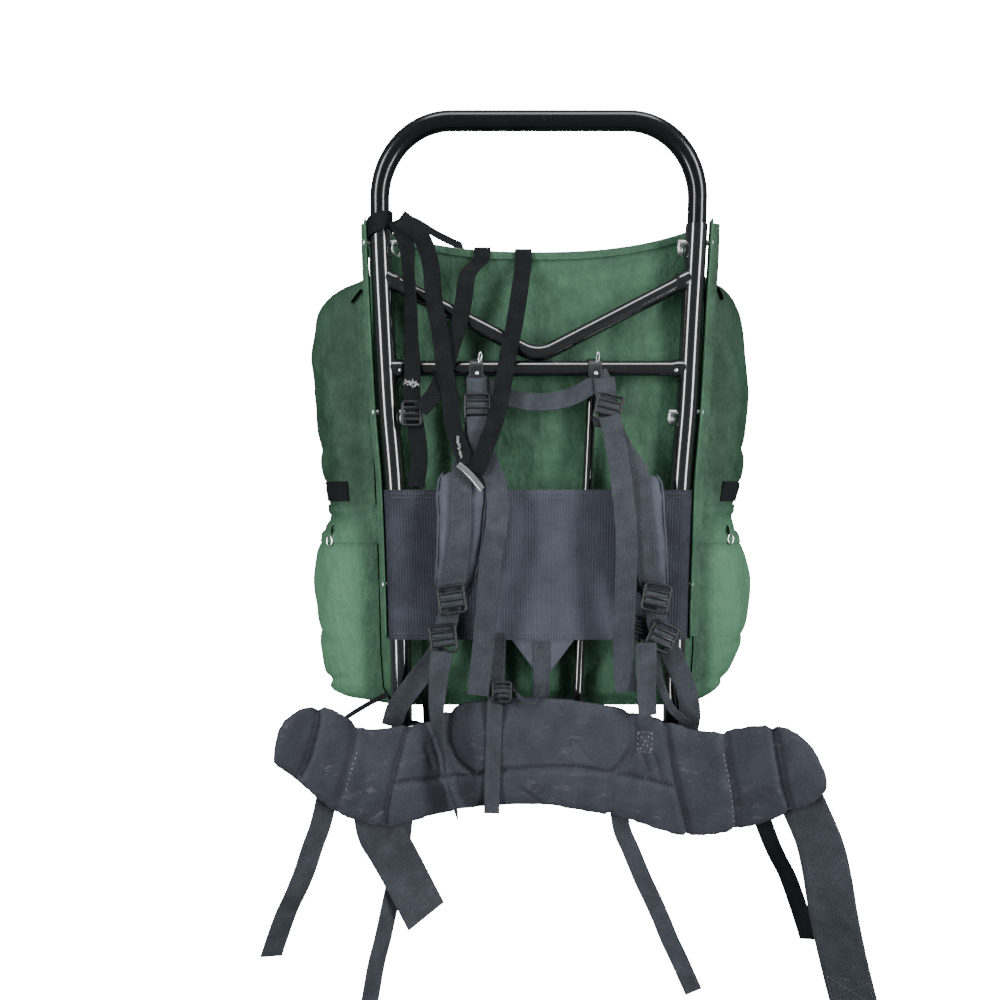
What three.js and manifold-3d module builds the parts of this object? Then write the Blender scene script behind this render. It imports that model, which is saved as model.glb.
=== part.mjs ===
// External frame backpack, hanging by its top hoop. Millimetres, +Z up.
// The origin is the middle of the underside of the hoop's bar, where the pack hangs.
// The harness faces -Y, the bag lies at +Y, and X runs to the right as seen from the harness.

import * as THREE from "three";
import { mergeVertices } from "three/addons/utils/BufferGeometryUtils.js";
import Module from "manifold-3d";

const wasm = await Module();
wasm.setup();

// Driving dimensions of the frame
const gap = 0.3; // clearance between pieces that touch
const frameHeight = 715; // hang point down to the feet of the side tubes
const frameHalf = 186; // half the distance between the side tubes' centre lines at the top
const frameDepth = 40; // how far the frame's plane lies behind the hoop's bar
const leanLength = 260; // height over which the frame leans forward to the bar
const sideTubeRadius = 12.7;
const hoopRadius = 11.1;
const tubeWall = 1.3;
const hoopBend = 85; // radius of the hoop's centre line at its corners
const sideTubeTop = 98; // mouths of the side tubes, below the hang point
const hoopInsert = 60; // length of each hoop leg inside its side tube
const braceRadius = 9.5;
const braceBend = 38; // radius of the V brace's centre line at its vertex
const uprightRadius = 6;
const upperBarDrop = 265.7; // upper crossbar below the hang point
const lowerBarDrop = 699; // lower crossbar below the hang point
const veeRise = 90; // height of the V brace's ends above its vertex
const uprightSpread = { top: 66, bottom: 46 }; // half spacing of the inner uprights

// Driving dimensions of the clevis pins and their split rings
const pinRadius = 3.2;
const pinHeadRadius = 5;
const pinHeadThickness = 2;
const pinDrops = { upper: 119, middle: 318, lower: 524 };
const ringRadius = 8.5;
const ringWire = 1;
const ringTurn = 0.5; // radians between the ring's plane and the pin's cross plane

// Driving dimensions of the bag
const clothWall = 2;
const bagTop = 126; // middle of the mouth's rim below the hang point
const bagHeight = 549;
const bagHalf = 203;
const bagDepth = 215;
const bagBackCorner = 14;
const bagFrontCorner = 46;
const bagFrontBulge = 14;
const rimRise = 34; // how far the rim's corners stand above its middle
const lidWall = 1.6;
const lidSkirt = { back: 5, side: 26, front: 46 };
const lidCrown = 14;
const pocketSwell = 86;
const pocketDepth = 152;
const pocketSetback = 8; // from the bag's back face to the pockets
const upperPocket = { drop: 148, height: 302 };
const lowerPocket = { drop: 453, height: 224 };
const flangeWall = 1.6;
const flangeReach = { left: 24, right: 30 }; // side tube's centre to the piped edge
const flangeDrop = { top: 94, bottom: 588 };

// Driving dimensions of the harness
const reach = 100; // depth scale of the harness in front of the frame
const bandWall = 1.6;
const bandDrop = { top: 411, bottom: 588 };
const bandHem = 26; // length of band folded behind each side tube
const webbingThickness = 1.4;
const webbingWidth = 25;
const lashWidth = 20;
const yokeWidth = 21;
const waistWidth = 50;
const beltStrapWidth = 21;
const lockThickness = 4;
const lockWidth = 33;
const lockHeight = 34;
const lashLockWidth = 25;
const lashLockHeight = 31;
const centreLockWidth = 24;
const centreLockHeight = 26;
const slotHeight = 6;
const lockBar = 5.5;
const padThickness = 12;
const padHalfWidth = 29;
const gussetWall = 1.6;
const gussetHalfWidth = 37;
const gussetDrop = 624;
const hookWidth = 7;
const hookThickness = 2.5;

// Driving dimensions of the hip belt
const beltHalf = 289;
const beltShift = 7; // the belt hangs a little to the right
const beltDrop = 651; // top edge at its middle, below the hang point
const beltHeight = 128;
const beltThickness = 18;
const beltFlat = 90; // half length of the belt's straight middle
const beltWingReach = 92; // how far the wings' tips come forward
const beltWingPower = 1.6;

const sides = { tube: 12, brace: 10, upright: 8, pin: 8, ring: 10, wire: 4 };

// Rows of a table are joined by a smooth curve through neighbouring rows
function readRow(rows, at, key, value) {
  const last = rows.length - 1;
  let i = 0;
  while (i < last - 1 && value > rows[i + 1][at]) {
    i += 1;
  }
  const before = rows[Math.max(i - 1, 0)];
  const from = rows[i];
  const to = rows[i + 1];
  const after = rows[Math.min(i + 2, last)];
  const span = to[at] - from[at];
  const t = THREE.MathUtils.clamp((value - from[at]) / span, 0, 1);
  const slopeFrom = (span * (to[key] - before[key])) / (to[at] - before[at]);
  const slopeTo = (span * (after[key] - from[key])) / (after[at] - from[at]);
  const rise = to[key] - from[key];
  const bend = t * (1 - t) * ((1 - t) * (slopeFrom - rise) - t * (slopeTo - rise));
  return from[key] + rise * t + bend;
}

function range(count, make) {
  return Array.from({ length: count }, (unused, i) => make(i));
}

function vector(x, y, z) {
  return new THREE.Vector3(x, y, z);
}

// A closed body skinned over rings of points. Its ends are fans, strips, or joined in a loop.
function skin(rings, ends) {
  const points = rings.flat();
  const faces = [];
  const count = rings[0].length;
  const id = (i, j) => (i % rings.length) * count + (j % count);
  const bands = ends === "loop" ? rings.length : rings.length - 1;
  for (let i = 0; i < bands; i += 1) {
    for (let j = 0; j < count; j += 1) {
      // A thin strap's back is split along the same diagonal as its front, so a twist can't cross them
      const mirrored = count === 4 && j === 2;
      const [a, b, c, d] = [id(i, j), id(i, j + 1), id(i + 1, j + 1), id(i + 1, j)];
      faces.push(mirrored ? [a, b, d] : [a, b, c]);
      faces.push(mirrored ? [b, c, d] : [a, c, d]);
    }
  }
  const last = rings.length - 1;
  if (ends === "fan") {
    for (const row of [0, last]) {
      const centre = vector(0, 0, 0);
      rings[row].forEach((point) => centre.addScaledVector(point, 1 / count));
      points.push(centre);
      for (let j = 0; j < count; j += 1) {
        const pair = row === 0 ? [id(row, j + 1), id(row, j)] : [id(row, j), id(row, j + 1)];
        faces.push([points.length - 1, ...pair]);
      }
    }
  }
  if (ends === "strip") {
    for (let j = 0; j < count / 2 - 1; j += 1) {
      const other = count - 1 - j;
      faces.push([id(0, j + 1), id(0, j), id(0, other)]);
      faces.push([id(0, j + 1), id(0, other), id(0, other - 1)]);
      faces.push([id(last, j), id(last, j + 1), id(last, other - 1)]);
      faces.push([id(last, j), id(last, other - 1), id(last, other)]);
    }
  }
  return closedBody(points, faces);
}

// Points and faces to a geometry whose faces point out
function closedBody(points, faces) {
  let volume = 0;
  for (const [a, b, c] of faces) {
    volume += points[a].dot(points[b].clone().cross(points[c]));
  }
  const index = faces.flatMap(([a, b, c]) => (volume > 0 ? [a, b, c] : [a, c, b]));
  const geometry = new THREE.BufferGeometry().setFromPoints(points);
  geometry.setIndex(index);
  return geometry;
}

// A sheet between two grids of points, its outer and its inner face
function slab(outer, inner) {
  return skin(outer.map((row, i) => [...row, ...[...inner[i]].reverse()]), "strip");
}

function tangents(path, looped) {
  return path.map((point, i) => {
    const last = path.length - 1;
    const next = looped ? path[(i + 1) % path.length] : path[Math.min(i + 1, last)];
    const previous = looped ? path[(i + last) % path.length] : path[Math.max(i - 1, 0)];
    return next.clone().sub(previous).normalize();
  });
}

// Part of a direction that is square to another
function square(direction, axis) {
  return direction.clone().addScaledVector(axis, -direction.dot(axis)).normalize();
}

function circles(path, radius, count, side) {
  const along = tangents(path, false);
  return path.map((centre, i) => {
    const u = square(side, along[i]);
    const v = along[i].clone().cross(u);
    return range(count, (k) => {
      const angle = (2 * Math.PI * k) / count;
      const rim = u.clone().multiplyScalar(Math.cos(angle)).addScaledVector(v, Math.sin(angle));
      return centre.clone().addScaledVector(rim, radius);
    });
  });
}

function rod(path, radius, count, side) {
  return skin(circles(path, radius, count, side), "fan");
}

function pipe(path, radius, wall, count, side) {
  const outer = circles(path, radius, count, side);
  const inner = circles(path, radius - wall, count, side).reverse();
  return skin([...outer, ...inner], "loop");
}

// Webbing of rectangular section along a path, its width held near one direction
function ribbon(path, width, thickness, across, turns, looped = false) {
  const along = tangents(path, looped);
  const rings = path.map((centre, i) => {
    const wide = square(across, along[i]).applyAxisAngle(along[i], turns[i]);
    const deep = along[i].clone().cross(wide);
    const corners = [[-1, -1], [1, -1], [1, 1], [-1, 1]];
    return corners.map(([w, d]) => {
      const corner = centre.clone().addScaledVector(wide, (w * width) / 2);
      return corner.addScaledVector(deep, (d * thickness) / 2);
    });
  });
  return skin(rings, looped ? "loop" : "strip");
}

function toSolid(geometry) {
  const bare = new THREE.BufferGeometry();
  bare.setAttribute("position", geometry.getAttribute("position"));
  bare.setIndex(geometry.index);
  const merged = mergeVertices(bare, 1e-4);
  const vertProperties = new Float32Array(merged.getAttribute("position").array);
  const triVerts = new Uint32Array(merged.index.array);
  return new wasm.Manifold(new wasm.Mesh({ numProp: 3, vertProperties, triVerts }));
}

function fromSolid(solid) {
  const mesh = solid.getMesh();
  const geometry = new THREE.BufferGeometry();
  geometry.setAttribute("position", new THREE.BufferAttribute(new Float32Array(mesh.vertProperties), 3));
  geometry.setIndex(new THREE.BufferAttribute(new Uint32Array(mesh.triVerts), 1));
  return geometry;
}

function cut(geometry, cutters) {
  let solid = toSolid(geometry);
  for (const cutter of cutters) {
    solid = solid.subtract(toSolid(cutter));
  }
  return fromSolid(solid);
}

function join(geometries) {
  let solid = toSolid(geometries[0]);
  for (const other of geometries.slice(1)) {
    solid = solid.add(toSolid(other));
  }
  return fromSolid(solid);
}

const pack = new THREE.Group();
const finishes = {
  paint: { color: 0x16171b, roughness: 0.28, metalness: 0.4 },
  steel: { color: 0xc8ccd0, roughness: 0.3, metalness: 1 },
  cloth: { color: 0x3f6b4d, roughness: 0.85, metalness: 0 },
  band: { color: 0x3a3c46, roughness: 0.9, metalness: 0 },
  webbing: { color: 0x4a4d57, roughness: 0.85, metalness: 0 },
  lash: { color: 0x1c1c1f, roughness: 0.85, metalness: 0 },
  plastic: { color: 0x33363c, roughness: 0.5, metalness: 0 },
  padding: { color: 0x33353d, roughness: 0.95, metalness: 0 },
};

function place(name, geometry, finish) {
  const mesh = new THREE.Mesh(geometry, new THREE.MeshStandardMaterial(finishes[finish]));
  mesh.name = name;
  pack.add(mesh);
  return mesh;
}

const hands = [
  { name: "left", sign: -1 },
  { name: "right", sign: 1 },
];
const AcrossX = vector(1, 0, 0);
const TowardWearer = vector(0, -1, 0);
const Up = vector(0, 0, 1);

// The frame's plane leans forward toward the bar
function frameBack(z) {
  const share = THREE.MathUtils.clamp((hoopRadius - z) / leanLength, 0, 1);
  return frameDepth * Math.sin((share * Math.PI) / 2);
}

// Half spacing of the side tubes, as shares of frameHalf down the frame
const tubeRows = [
  { down: 0, half: 1 },
  { down: 0.2, half: 1 },
  { down: 0.42, half: 0.963 },
  { down: 0.58, half: 0.915 },
  { down: 0.84, half: 0.882 },
  { down: 1, half: 0.875 },
];

function tubeHalf(z) {
  return frameHalf * readRow(tubeRows, "down", "half", -z / frameHeight);
}

function tubeAt(sign, z) {
  return vector(sign * tubeHalf(z), frameBack(z), z);
}

// Heights at which the side tubes and the hoop's legs are drawn
const insertHeights = range(3, (i) => -sideTubeTop - (hoopInsert * i) / 2);
const lowerSteps = 9;
const lowerStart = -sideTubeTop - hoopInsert;
const tubeHeights = [
  ...insertHeights,
  ...range(lowerSteps, (i) => lowerStart + ((-frameHeight - lowerStart) * (i + 1)) / lowerSteps),
];

function tubePath(sign) {
  return tubeHeights.map((z) => tubeAt(sign, z));
}

function hoopPath() {
  const arcSteps = 6;
  const bar = hoopRadius;
  const centreZ = bar - hoopBend;
  const centreX = frameHalf - hoopBend;
  const half = [
    ...insertHeights.slice().reverse().map((z) => ({ x: tubeHalf(z), z })),
    ...range(arcSteps + 1, (i) => {
      const angle = ((Math.PI / 2) * i) / arcSteps;
      return { x: centreX + hoopBend * Math.cos(angle), z: centreZ + hoopBend * Math.sin(angle) };
    }),
  ];
  const leftSide = half.map(({ x, z }) => vector(-x, frameBack(z), z));
  const rightSide = half.map(({ x, z }) => vector(x, frameBack(z), z)).reverse();
  return [...leftSide, ...rightSide];
}

const flangeSeat = sideTubeRadius + bandWall + 5 * gap;
const pinGrip = flangeSeat + flangeWall + 2 * gap;
const pinTail = sideTubeRadius + 9;

function pinPath(sign, z, from, to) {
  const centre = tubeAt(sign, z);
  return [from, to].map((offset) => vector(centre.x + sign * offset, centre.y, z));
}

function pinHoles(sign) {
  const reachOut = pinGrip + pinHeadThickness;
  return Object.values(pinDrops).map((drop) =>
    rod(pinPath(sign, -drop, -pinTail, reachOut), pinRadius + gap, sides.pin, Up));
}

function buildFrame() {
  const hoop = pipe(hoopPath(), hoopRadius, tubeWall, sides.tube, TowardWearer);
  place("frame_hoop", cut(hoop, [...pinHoles(-1), ...pinHoles(1)]), "paint");
  for (const { name, sign } of hands) {
    const tube = pipe(tubePath(sign), sideTubeRadius, tubeWall, sides.tube, TowardWearer);
    place(`side_tube_${name}`, cut(tube, pinHoles(sign)), "paint");
  }
}

// The side tubes grown by the clearance, which cope the braces' ends
const tubeCutters = hands.map(({ sign }) => rod(tubePath(sign), sideTubeRadius + gap, sides.tube, TowardWearer));

function crossbarPath(z) {
  return [vector(-tubeHalf(z), frameBack(z), z), vector(tubeHalf(z), frameBack(z), z)];
}

function buildCrossbar(name, drop) {
  const bar = rod(crossbarPath(-drop), braceRadius, sides.brace, TowardWearer);
  place(name, cut(bar, tubeCutters), "paint");
}

// The V brace: two straight arms and a round vertex that rests on the upper crossbar
function buildVee() {
  const vertexZ = -upperBarDrop + 2 * braceRadius + gap;
  const topZ = vertexZ + veeRise;
  const run = tubeHalf(topZ);
  const slope = Math.atan2(veeRise, run);
  const arcSteps = 3;
  const arc = range(2 * arcSteps + 1, (i) => {
    const angle = slope * (i / arcSteps - 1);
    return { x: braceBend * Math.sin(angle), z: vertexZ + braceBend * (1 - Math.cos(angle)) };
  });
  const profile = [{ x: -run, z: topZ }, ...arc, { x: run, z: topZ }];
  const path = profile.map(({ x, z }) => vector(x, frameBack(z), z));
  place("vee_brace", cut(rod(path, braceRadius, sides.brace, TowardWearer), tubeCutters), "paint");
}

function buildUprights() {
  const bars = [upperBarDrop, lowerBarDrop];
  const cutters = bars.map((drop) => rod(crossbarPath(-drop), braceRadius + gap, sides.brace, TowardWearer));
  for (const { name, sign } of hands) {
    const spreads = [uprightSpread.top, uprightSpread.bottom];
    const path = bars.map((drop, i) => vector(sign * spreads[i], frameBack(-drop), -drop));
    const upright = rod(path, uprightRadius, sides.upright, TowardWearer);
    place(`inner_upright_${name}`, cut(upright, cutters), "paint");
  }
}

// A clevis pin through a side tube, with the split ring through its tail
function buildPins() {
  for (const { name, sign } of hands) {
    for (const [level, drop] of Object.entries(pinDrops)) {
      const z = -drop;
      const shank = rod(pinPath(sign, z, -pinTail, pinGrip + pinHeadThickness), pinRadius, sides.pin, Up);
      const head = rod(pinPath(sign, z, pinGrip, pinGrip + pinHeadThickness), pinHeadRadius, sides.pin, Up);
      const [tail] = pinPath(sign, z, -pinTail + pinRadius, 0);
      const loop = range(sides.ring, (i) => {
        const angle = (2 * Math.PI * i) / sides.ring;
        const flat = ringRadius * Math.sin(angle);
        return vector(
          tail.x + flat * Math.sin(ringTurn),
          tail.y + flat * Math.cos(ringTurn),
          z - ringRadius + ringWire + ringRadius * Math.cos(angle),
        );
      });
      const along = tangents(loop, true);
      const facing = vector(Math.cos(ringTurn), -Math.sin(ringTurn), 0);
      const rings = loop.map((centre, i) => {
        const rise = along[i].clone().cross(facing);
        return range(sides.wire, (k) => {
          const angle = (2 * Math.PI * k) / sides.wire;
          const rim = facing.clone().multiplyScalar(Math.cos(angle)).addScaledVector(rise, Math.sin(angle));
          return centre.clone().addScaledVector(rim, ringWire);
        });
      });
      place(`clevis_pin_${level}_${name}`, join([shank, head, skin(rings, "loop")]), "steel");
    }
  }
}

// The bag's horizontal section: a rectangle with small back and large front corners
const bagBack = frameDepth + sideTubeRadius + gap + bandWall + 2 * gap;
const bagRows = [
  { down: 0, half: 1.02, depth: 0.91 },
  { down: 0.12, half: 1.015, depth: 0.94 },
  { down: 0.3, half: 1, depth: 0.98 },
  { down: 0.5, half: 0.98, depth: 1 },
  { down: 0.72, half: 0.955, depth: 1 },
  { down: 0.88, half: 0.945, depth: 0.99 },
  { down: 0.96, half: 0.93, depth: 0.95 },
  { down: 0.99, half: 0.89, depth: 0.88 },
  { down: 1, half: 0.83, depth: 0.8 },
];
const bagFloorLift = 8; // the floor's edge is this much in from the back face

function bagSection(half, back, front, bulge, grow) {
  const arcSteps = 3;
  const sideSteps = 3;
  const backSteps = 6;
  const corner = (x, y, radius, start) => range(arcSteps + 1, (i) => {
    const angle = start + ((Math.PI / 2) * i) / arcSteps;
    return [x + radius * Math.cos(angle), y + radius * Math.sin(angle)];
  });
  const h = half + grow;
  const b = back - grow;
  const f = front + grow;
  const rb = Math.max(bagBackCorner + grow, 3);
  const rf = Math.max(bagFrontCorner + grow, 3);
  const between = (from, to, steps) => range(steps - 1, (i) => {
    const t = (i + 1) / steps;
    return [from[0] + (to[0] - from[0]) * t, from[1] + (to[1] - from[1]) * t];
  });
  const frontRight = corner(h - rf, f - rf, rf, 0);
  const frontLeft = corner(-h + rf, f - rf, rf, Math.PI / 2);
  const backLeft = corner(-h + rb, b + rb, rb, Math.PI);
  const backRight = corner(h - rb, b + rb, rb, 1.5 * Math.PI);
  const ring = [
    ...frontRight,
    ...between(frontRight[arcSteps], frontLeft[0], backSteps),
    ...frontLeft,
    ...between(frontLeft[arcSteps], backLeft[0], sideSteps),
    ...backLeft,
    ...between(backLeft[arcSteps], backRight[0], backSteps),
    ...backRight,
    ...between(backRight[arcSteps], frontRight[0], sideSteps),
  ];
  return ring.map(([x, y]) => {
    const share = THREE.MathUtils.clamp((y - back) / (front - back), 0, 1);
    return [x, y + bulge * share ** 4 * Math.max(0, 1 - (x / h) ** 2)];
  });
}

function rimLift(x, y) {
  const share = Math.min(Math.abs(x) / (bagHalf * bagRows[0].half), 1);
  const back = THREE.MathUtils.clamp((y - bagBack) / bagDepth, 0, 1);
  return rimRise * share ** 2.5 * (1 - 0.6 * back);
}

function bagRing(row, grow, heightAt) {
  const floorShare = THREE.MathUtils.smoothstep(row.down, 0.96, 1);
  const back = bagBack + bagFloorLift * floorShare;
  const front = bagBack + bagDepth * row.depth;
  const bulge = bagFrontBulge * (1 - floorShare);
  return bagSection(bagHalf * row.half, back, front, bulge, grow).map(([x, y]) => vector(x, y, heightAt(x, y)));
}

function buildBag() {
  const rows = bagRows.slice(1).reverse();
  const level = (row, lift) => () => -bagTop - bagHeight * row.down + lift;
  const rimAt = (x, y) => -bagTop + rimLift(x, y);
  const outer = [...rows.map((row) => bagRing(row, 0, level(row, 0))), bagRing(bagRows[0], 0, rimAt)];
  const inner = [
    ...rows.map((row) => bagRing(row, -clothWall, level(row, clothWall))),
    bagRing(bagRows[0], -clothWall, rimAt),
  ];
  place("bag_body", skin([...outer, ...inner.reverse()], "fan"), "cloth");
}

// The lid: an upturned shallow cap whose skirt is short at the back and deep at the front
const lidSlope = [
  { inset: 0, rise: 0 },
  { inset: 0.08, rise: 0.6 },
  { inset: 0.3, rise: 1 },
];
const lidHem = { down: 0, half: bagRows[0].half, depth: bagRows[1].depth };

function buildLid() {
  const row = bagRows[0];
  const inside = 2 * gap;
  const outside = inside + lidWall;
  const skirtAt = (y) => {
    const front = THREE.MathUtils.smoothstep(y, bagBack + pocketDepth, bagBack + pocketDepth + lidSkirt.front);
    const side = THREE.MathUtils.smoothstep(y, bagBack, bagBack + bagBackCorner);
    const sideSkirt = THREE.MathUtils.lerp(lidSkirt.back, lidSkirt.side, side);
    return THREE.MathUtils.lerp(sideSkirt, lidSkirt.front, front);
  };
  const hem = (x, y) => -bagTop + rimLift(x, y) - skirtAt(y);
  const over = (lift) => (x, y) => -bagTop + rimLift(x, y) + lift;
  const crown = (wall) => lidSlope.map(({ inset, rise }, i) => {
    const grow = i === 0 ? inside + wall : -bagDepth * inset;
    return bagRing(row, grow, over(inside + wall + lidCrown * rise));
  });
  const rings = [
    ...crown(lidWall).reverse(),
    bagRing(lidHem, outside, hem),
    bagRing(lidHem, inside, hem),
    ...crown(0),
  ];
  place("bag_lid", skin(rings, "fan"), "cloth");
}

// Outward swell of the side pockets as shares of pocketSwell, down each pocket
const upperPocketRows = [
  { down: 0, left: 0, right: 0 },
  { down: 0.03, left: 0.5, right: 0.4 },
  { down: 0.1, left: 0.83, right: 0.62 },
  { down: 0.2, left: 0.93, right: 0.74 },
  { down: 0.32, left: 1, right: 0.8 },
  { down: 0.48, left: 0.97, right: 0.86 },
  { down: 0.66, left: 0.95, right: 0.86 },
  { down: 0.82, left: 0.9, right: 0.82 },
  { down: 0.94, left: 0.84, right: 0.72 },
  { down: 0.985, left: 0.66, right: 0.55 },
  { down: 1, left: 0, right: 0 },
];
const lowerPocketRows = [
  { down: 0, left: 0, right: 0 },
  { down: 0.02, left: 0.75, right: 0.6 },
  { down: 0.1, left: 0.98, right: 0.83 },
  { down: 0.22, left: 1.08, right: 0.97 },
  { down: 0.34, left: 1.12, right: 1.04 },
  { down: 0.5, left: 1.08, right: 1 },
  { down: 0.697, left: 1.02, right: 0.86 },
  { down: 0.893, left: 0.93, right: 0.64 },
  { down: 0.966, left: 0.82, right: 0.45 },
  { down: 1, left: 0, right: 0 },
];

// Dents of the pocket walls: place and reach as shares, depth as a share of pocketSwell
const pocketFolds = [
  { pocket: "upper", across: 0.18, down: 0.72, wide: 0.1, tall: 0.22, depth: 0.13 },
  { pocket: "upper", across: 0.45, down: 0.9, wide: 0.3, tall: 0.06, depth: 0.1 },
  { pocket: "upper", across: 0.75, down: 0.3, wide: 0.12, tall: 0.25, depth: 0.08 },
  { pocket: "lower", across: 0.22, down: 0.3, wide: 0.1, tall: 0.25, depth: 0.12 },
  { pocket: "lower", across: 0.6, down: 0.75, wide: 0.2, tall: 0.1, depth: 0.08 },
];

function bagHalfAt(z) {
  const down = (-z - bagTop) / bagHeight;
  let i = 0;
  while (i < bagRows.length - 2 && down > bagRows[i + 1].down) {
    i += 1;
  }
  const t = THREE.MathUtils.clamp((down - bagRows[i].down) / (bagRows[i + 1].down - bagRows[i].down), 0, 1);
  return bagHalf * THREE.MathUtils.lerp(bagRows[i].half, bagRows[i + 1].half, t);
}

function pocketPoint(pocket, hand, across, down, inset) {
  const { size, rows, level } = pocket;
  const height = size.height - 2 * inset;
  const depth = pocketDepth - 2 * inset;
  const z = -size.drop - inset - height * down;
  const profile = (1 - Math.abs(2 * across - 1) ** 4) ** 0.6;
  let swell = readRow(rows, "down", hand.name, down);
  for (const fold of pocketFolds) {
    if (fold.pocket === level) {
      const u = (across - fold.across) / fold.wide;
      const v = (down - fold.down) / fold.tall;
      swell -= fold.depth * Math.exp(-u * u - v * v) * Math.min(1, swell);
    }
  }
  const out = Math.max(0, (pocketSwell * swell - inset) * profile);
  const rimX = bagHalfAt(z) + 2 * gap;
  return vector(hand.sign * (rimX + out), bagBack + pocketSetback + inset + depth * across, z);
}

const pockets = [
  { level: "upper", size: upperPocket, rows: upperPocketRows },
  { level: "lower", size: lowerPocket, rows: lowerPocketRows },
];
const pocketColumns = 8;

function pocketColumn(i) {
  return (1 - Math.cos((Math.PI * i) / pocketColumns)) / 2;
}

function buildPockets() {
  for (const hand of hands) {
    for (const pocket of pockets) {
      const grid = (inset) => pocket.rows.map(({ down }) => range(pocketColumns + 1, (i) =>
        pocketPoint(pocket, hand, pocketColumn(i), down, inset)));
      place(`pocket_${pocket.level}_${hand.name}`, slab(grid(0), grid(clothWall)), "cloth");
    }
  }
}

// Closing straps that lie on the lower end of the upper pockets, from the back to the middle
const pocketStrap = { above: 0.82, below: 0.94, from: 0.12, to: 0.8, columns: 5, lift: 1 };

function buildPocketStraps() {
  const pocket = pockets[0];
  for (const hand of hands) {
    const corner = (i, down) => pocketPoint(pocket, hand, pocketColumn(i), down, 0);
    const outward = (i) => {
      const along = corner(i + 1, pocketStrap.above).sub(corner(Math.max(i - 1, 0), pocketStrap.above));
      return vector(hand.sign * along.y, -hand.sign * along.x, 0).normalize();
    };
    const grid = (lift) => range(pocketStrap.columns, (k) => k + 1).map((i) =>
      [pocketStrap.from, pocketStrap.to].map((share) => {
        const point = corner(i, pocketStrap.above).lerp(corner(i, pocketStrap.below), share);
        return point.addScaledVector(outward(i), lift);
      }));
    const strap = slab(grid(pocketStrap.lift + webbingThickness), grid(pocketStrap.lift));
    place(`pocket_strap_${hand.name}`, strap, "lash");
  }
}

// Piped cloth edges that run beside the side tubes to the bag's back corners
function buildFlanges() {
  const steps = 9;
  for (const { name, sign } of hands) {
    const profile = [
      { x: flangeSeat, y: -0.5 },
      { x: flangeSeat, y: 0.48 },
      { x: flangeSeat + (flangeReach[name] - flangeSeat) * 0.35, y: 0.8 },
      { x: flangeReach[name], y: 1 },
    ];
    const grid = (side) => range(steps + 1, (i) => {
      const z = -THREE.MathUtils.lerp(flangeDrop.top, flangeDrop.bottom, i / steps);
      const tube = tubeAt(sign, z);
      const room = bagBack - gap - flangeWall - tube.y;
      return profile.map(({ x, y }, k) => {
        const outward = k < 2 ? [flangeWall, 0] : [flangeWall * 0.3, -flangeWall];
        const depth = y > 0 ? y * Math.min(room, sideTubeRadius) : y * sideTubeRadius;
        return vector(
          tube.x + sign * (x + (side === "outer" ? outward[0] : 0)),
          tube.y + depth + (side === "outer" ? outward[1] : 0),
          z,
        );
      });
    });
    const flange = slab(grid("outer"), grid("inner"));
    place(`flange_${name}`, cut(flange, pinHoles(sign)), "cloth");
  }
}

// The woven band across the wearer's back, wrapped round both side tubes
function buildBand() {
  const heightSteps = 5;
  const arcSteps = 6;
  const face = (radius, z) => {
    const arcAt = (sign, start) => range(arcSteps + 1, (i) => {
      const angle = start + (Math.PI * i) / arcSteps;
      const centre = tubeAt(sign, z);
      return vector(centre.x + radius * Math.cos(angle), centre.y + radius * Math.sin(angle), z);
    });
    const left = arcAt(-1, Math.PI / 2);
    const right = arcAt(1, 1.5 * Math.PI);
    const leftEnd = left[0].clone().setX(left[0].x + bandHem);
    const rightEnd = right[arcSteps].clone().setX(right[arcSteps].x - bandHem);
    return [leftEnd, ...left, ...right, rightEnd];
  };
  const grid = (radius) => range(heightSteps + 1, (i) => {
    const z = -THREE.MathUtils.lerp(bandDrop.top, bandDrop.bottom, i / heightSteps);
    return face(radius, z);
  });
  const innerRadius = sideTubeRadius + gap;
  const band = slab(grid(innerRadius + bandWall), grid(innerRadius));
  place("back_band", cut(band, [...pinHoles(-1), ...pinHoles(1)]), "band");
}

// Depth of webbing in front of the frame: out is a share of reach beyond the band's face
function harnessY(z, out) {
  const clear = sideTubeRadius + gap + bandWall + gap + webbingThickness / 2;
  return frameBack(z) - clear - out * reach;
}

const barFront = braceRadius + gap + webbingThickness / 2;

function smoothPath(points, steps) {
  const curve = new THREE.CatmullRomCurve3(points, false, "centripetal");
  return curve.getPoints(steps);
}

// Table columns: x as a share of frameHalf, down as a share of frameHeight, out as a share of reach,
// turn in degrees about the webbing's own line
function strapPoints(rows) {
  return rows.map(({ x, down, out, y }) => {
    const z = -down * frameHeight;
    return vector(x * frameHalf, y ?? harnessY(z, out), z);
  });
}

function strapTurns(rows, count) {
  return range(count, (i) => {
    const at = (i * (rows.length - 1)) / (count - 1);
    const k = Math.min(Math.floor(at), rows.length - 2);
    const from = rows[k].turn ?? 0;
    const to = rows[k + 1].turn ?? 0;
    return THREE.MathUtils.degToRad(THREE.MathUtils.lerp(from, to, at - k));
  });
}

function buildStrap(name, rows, width, finish, across = AcrossX, perRow = 2) {
  const steps = (rows.length - 1) * perRow;
  const path = smoothPath(strapPoints(rows), steps);
  const geometry = ribbon(path, width, webbingThickness, across, strapTurns(rows, steps + 1));
  place(name, geometry, finish);
  return path;
}

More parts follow.
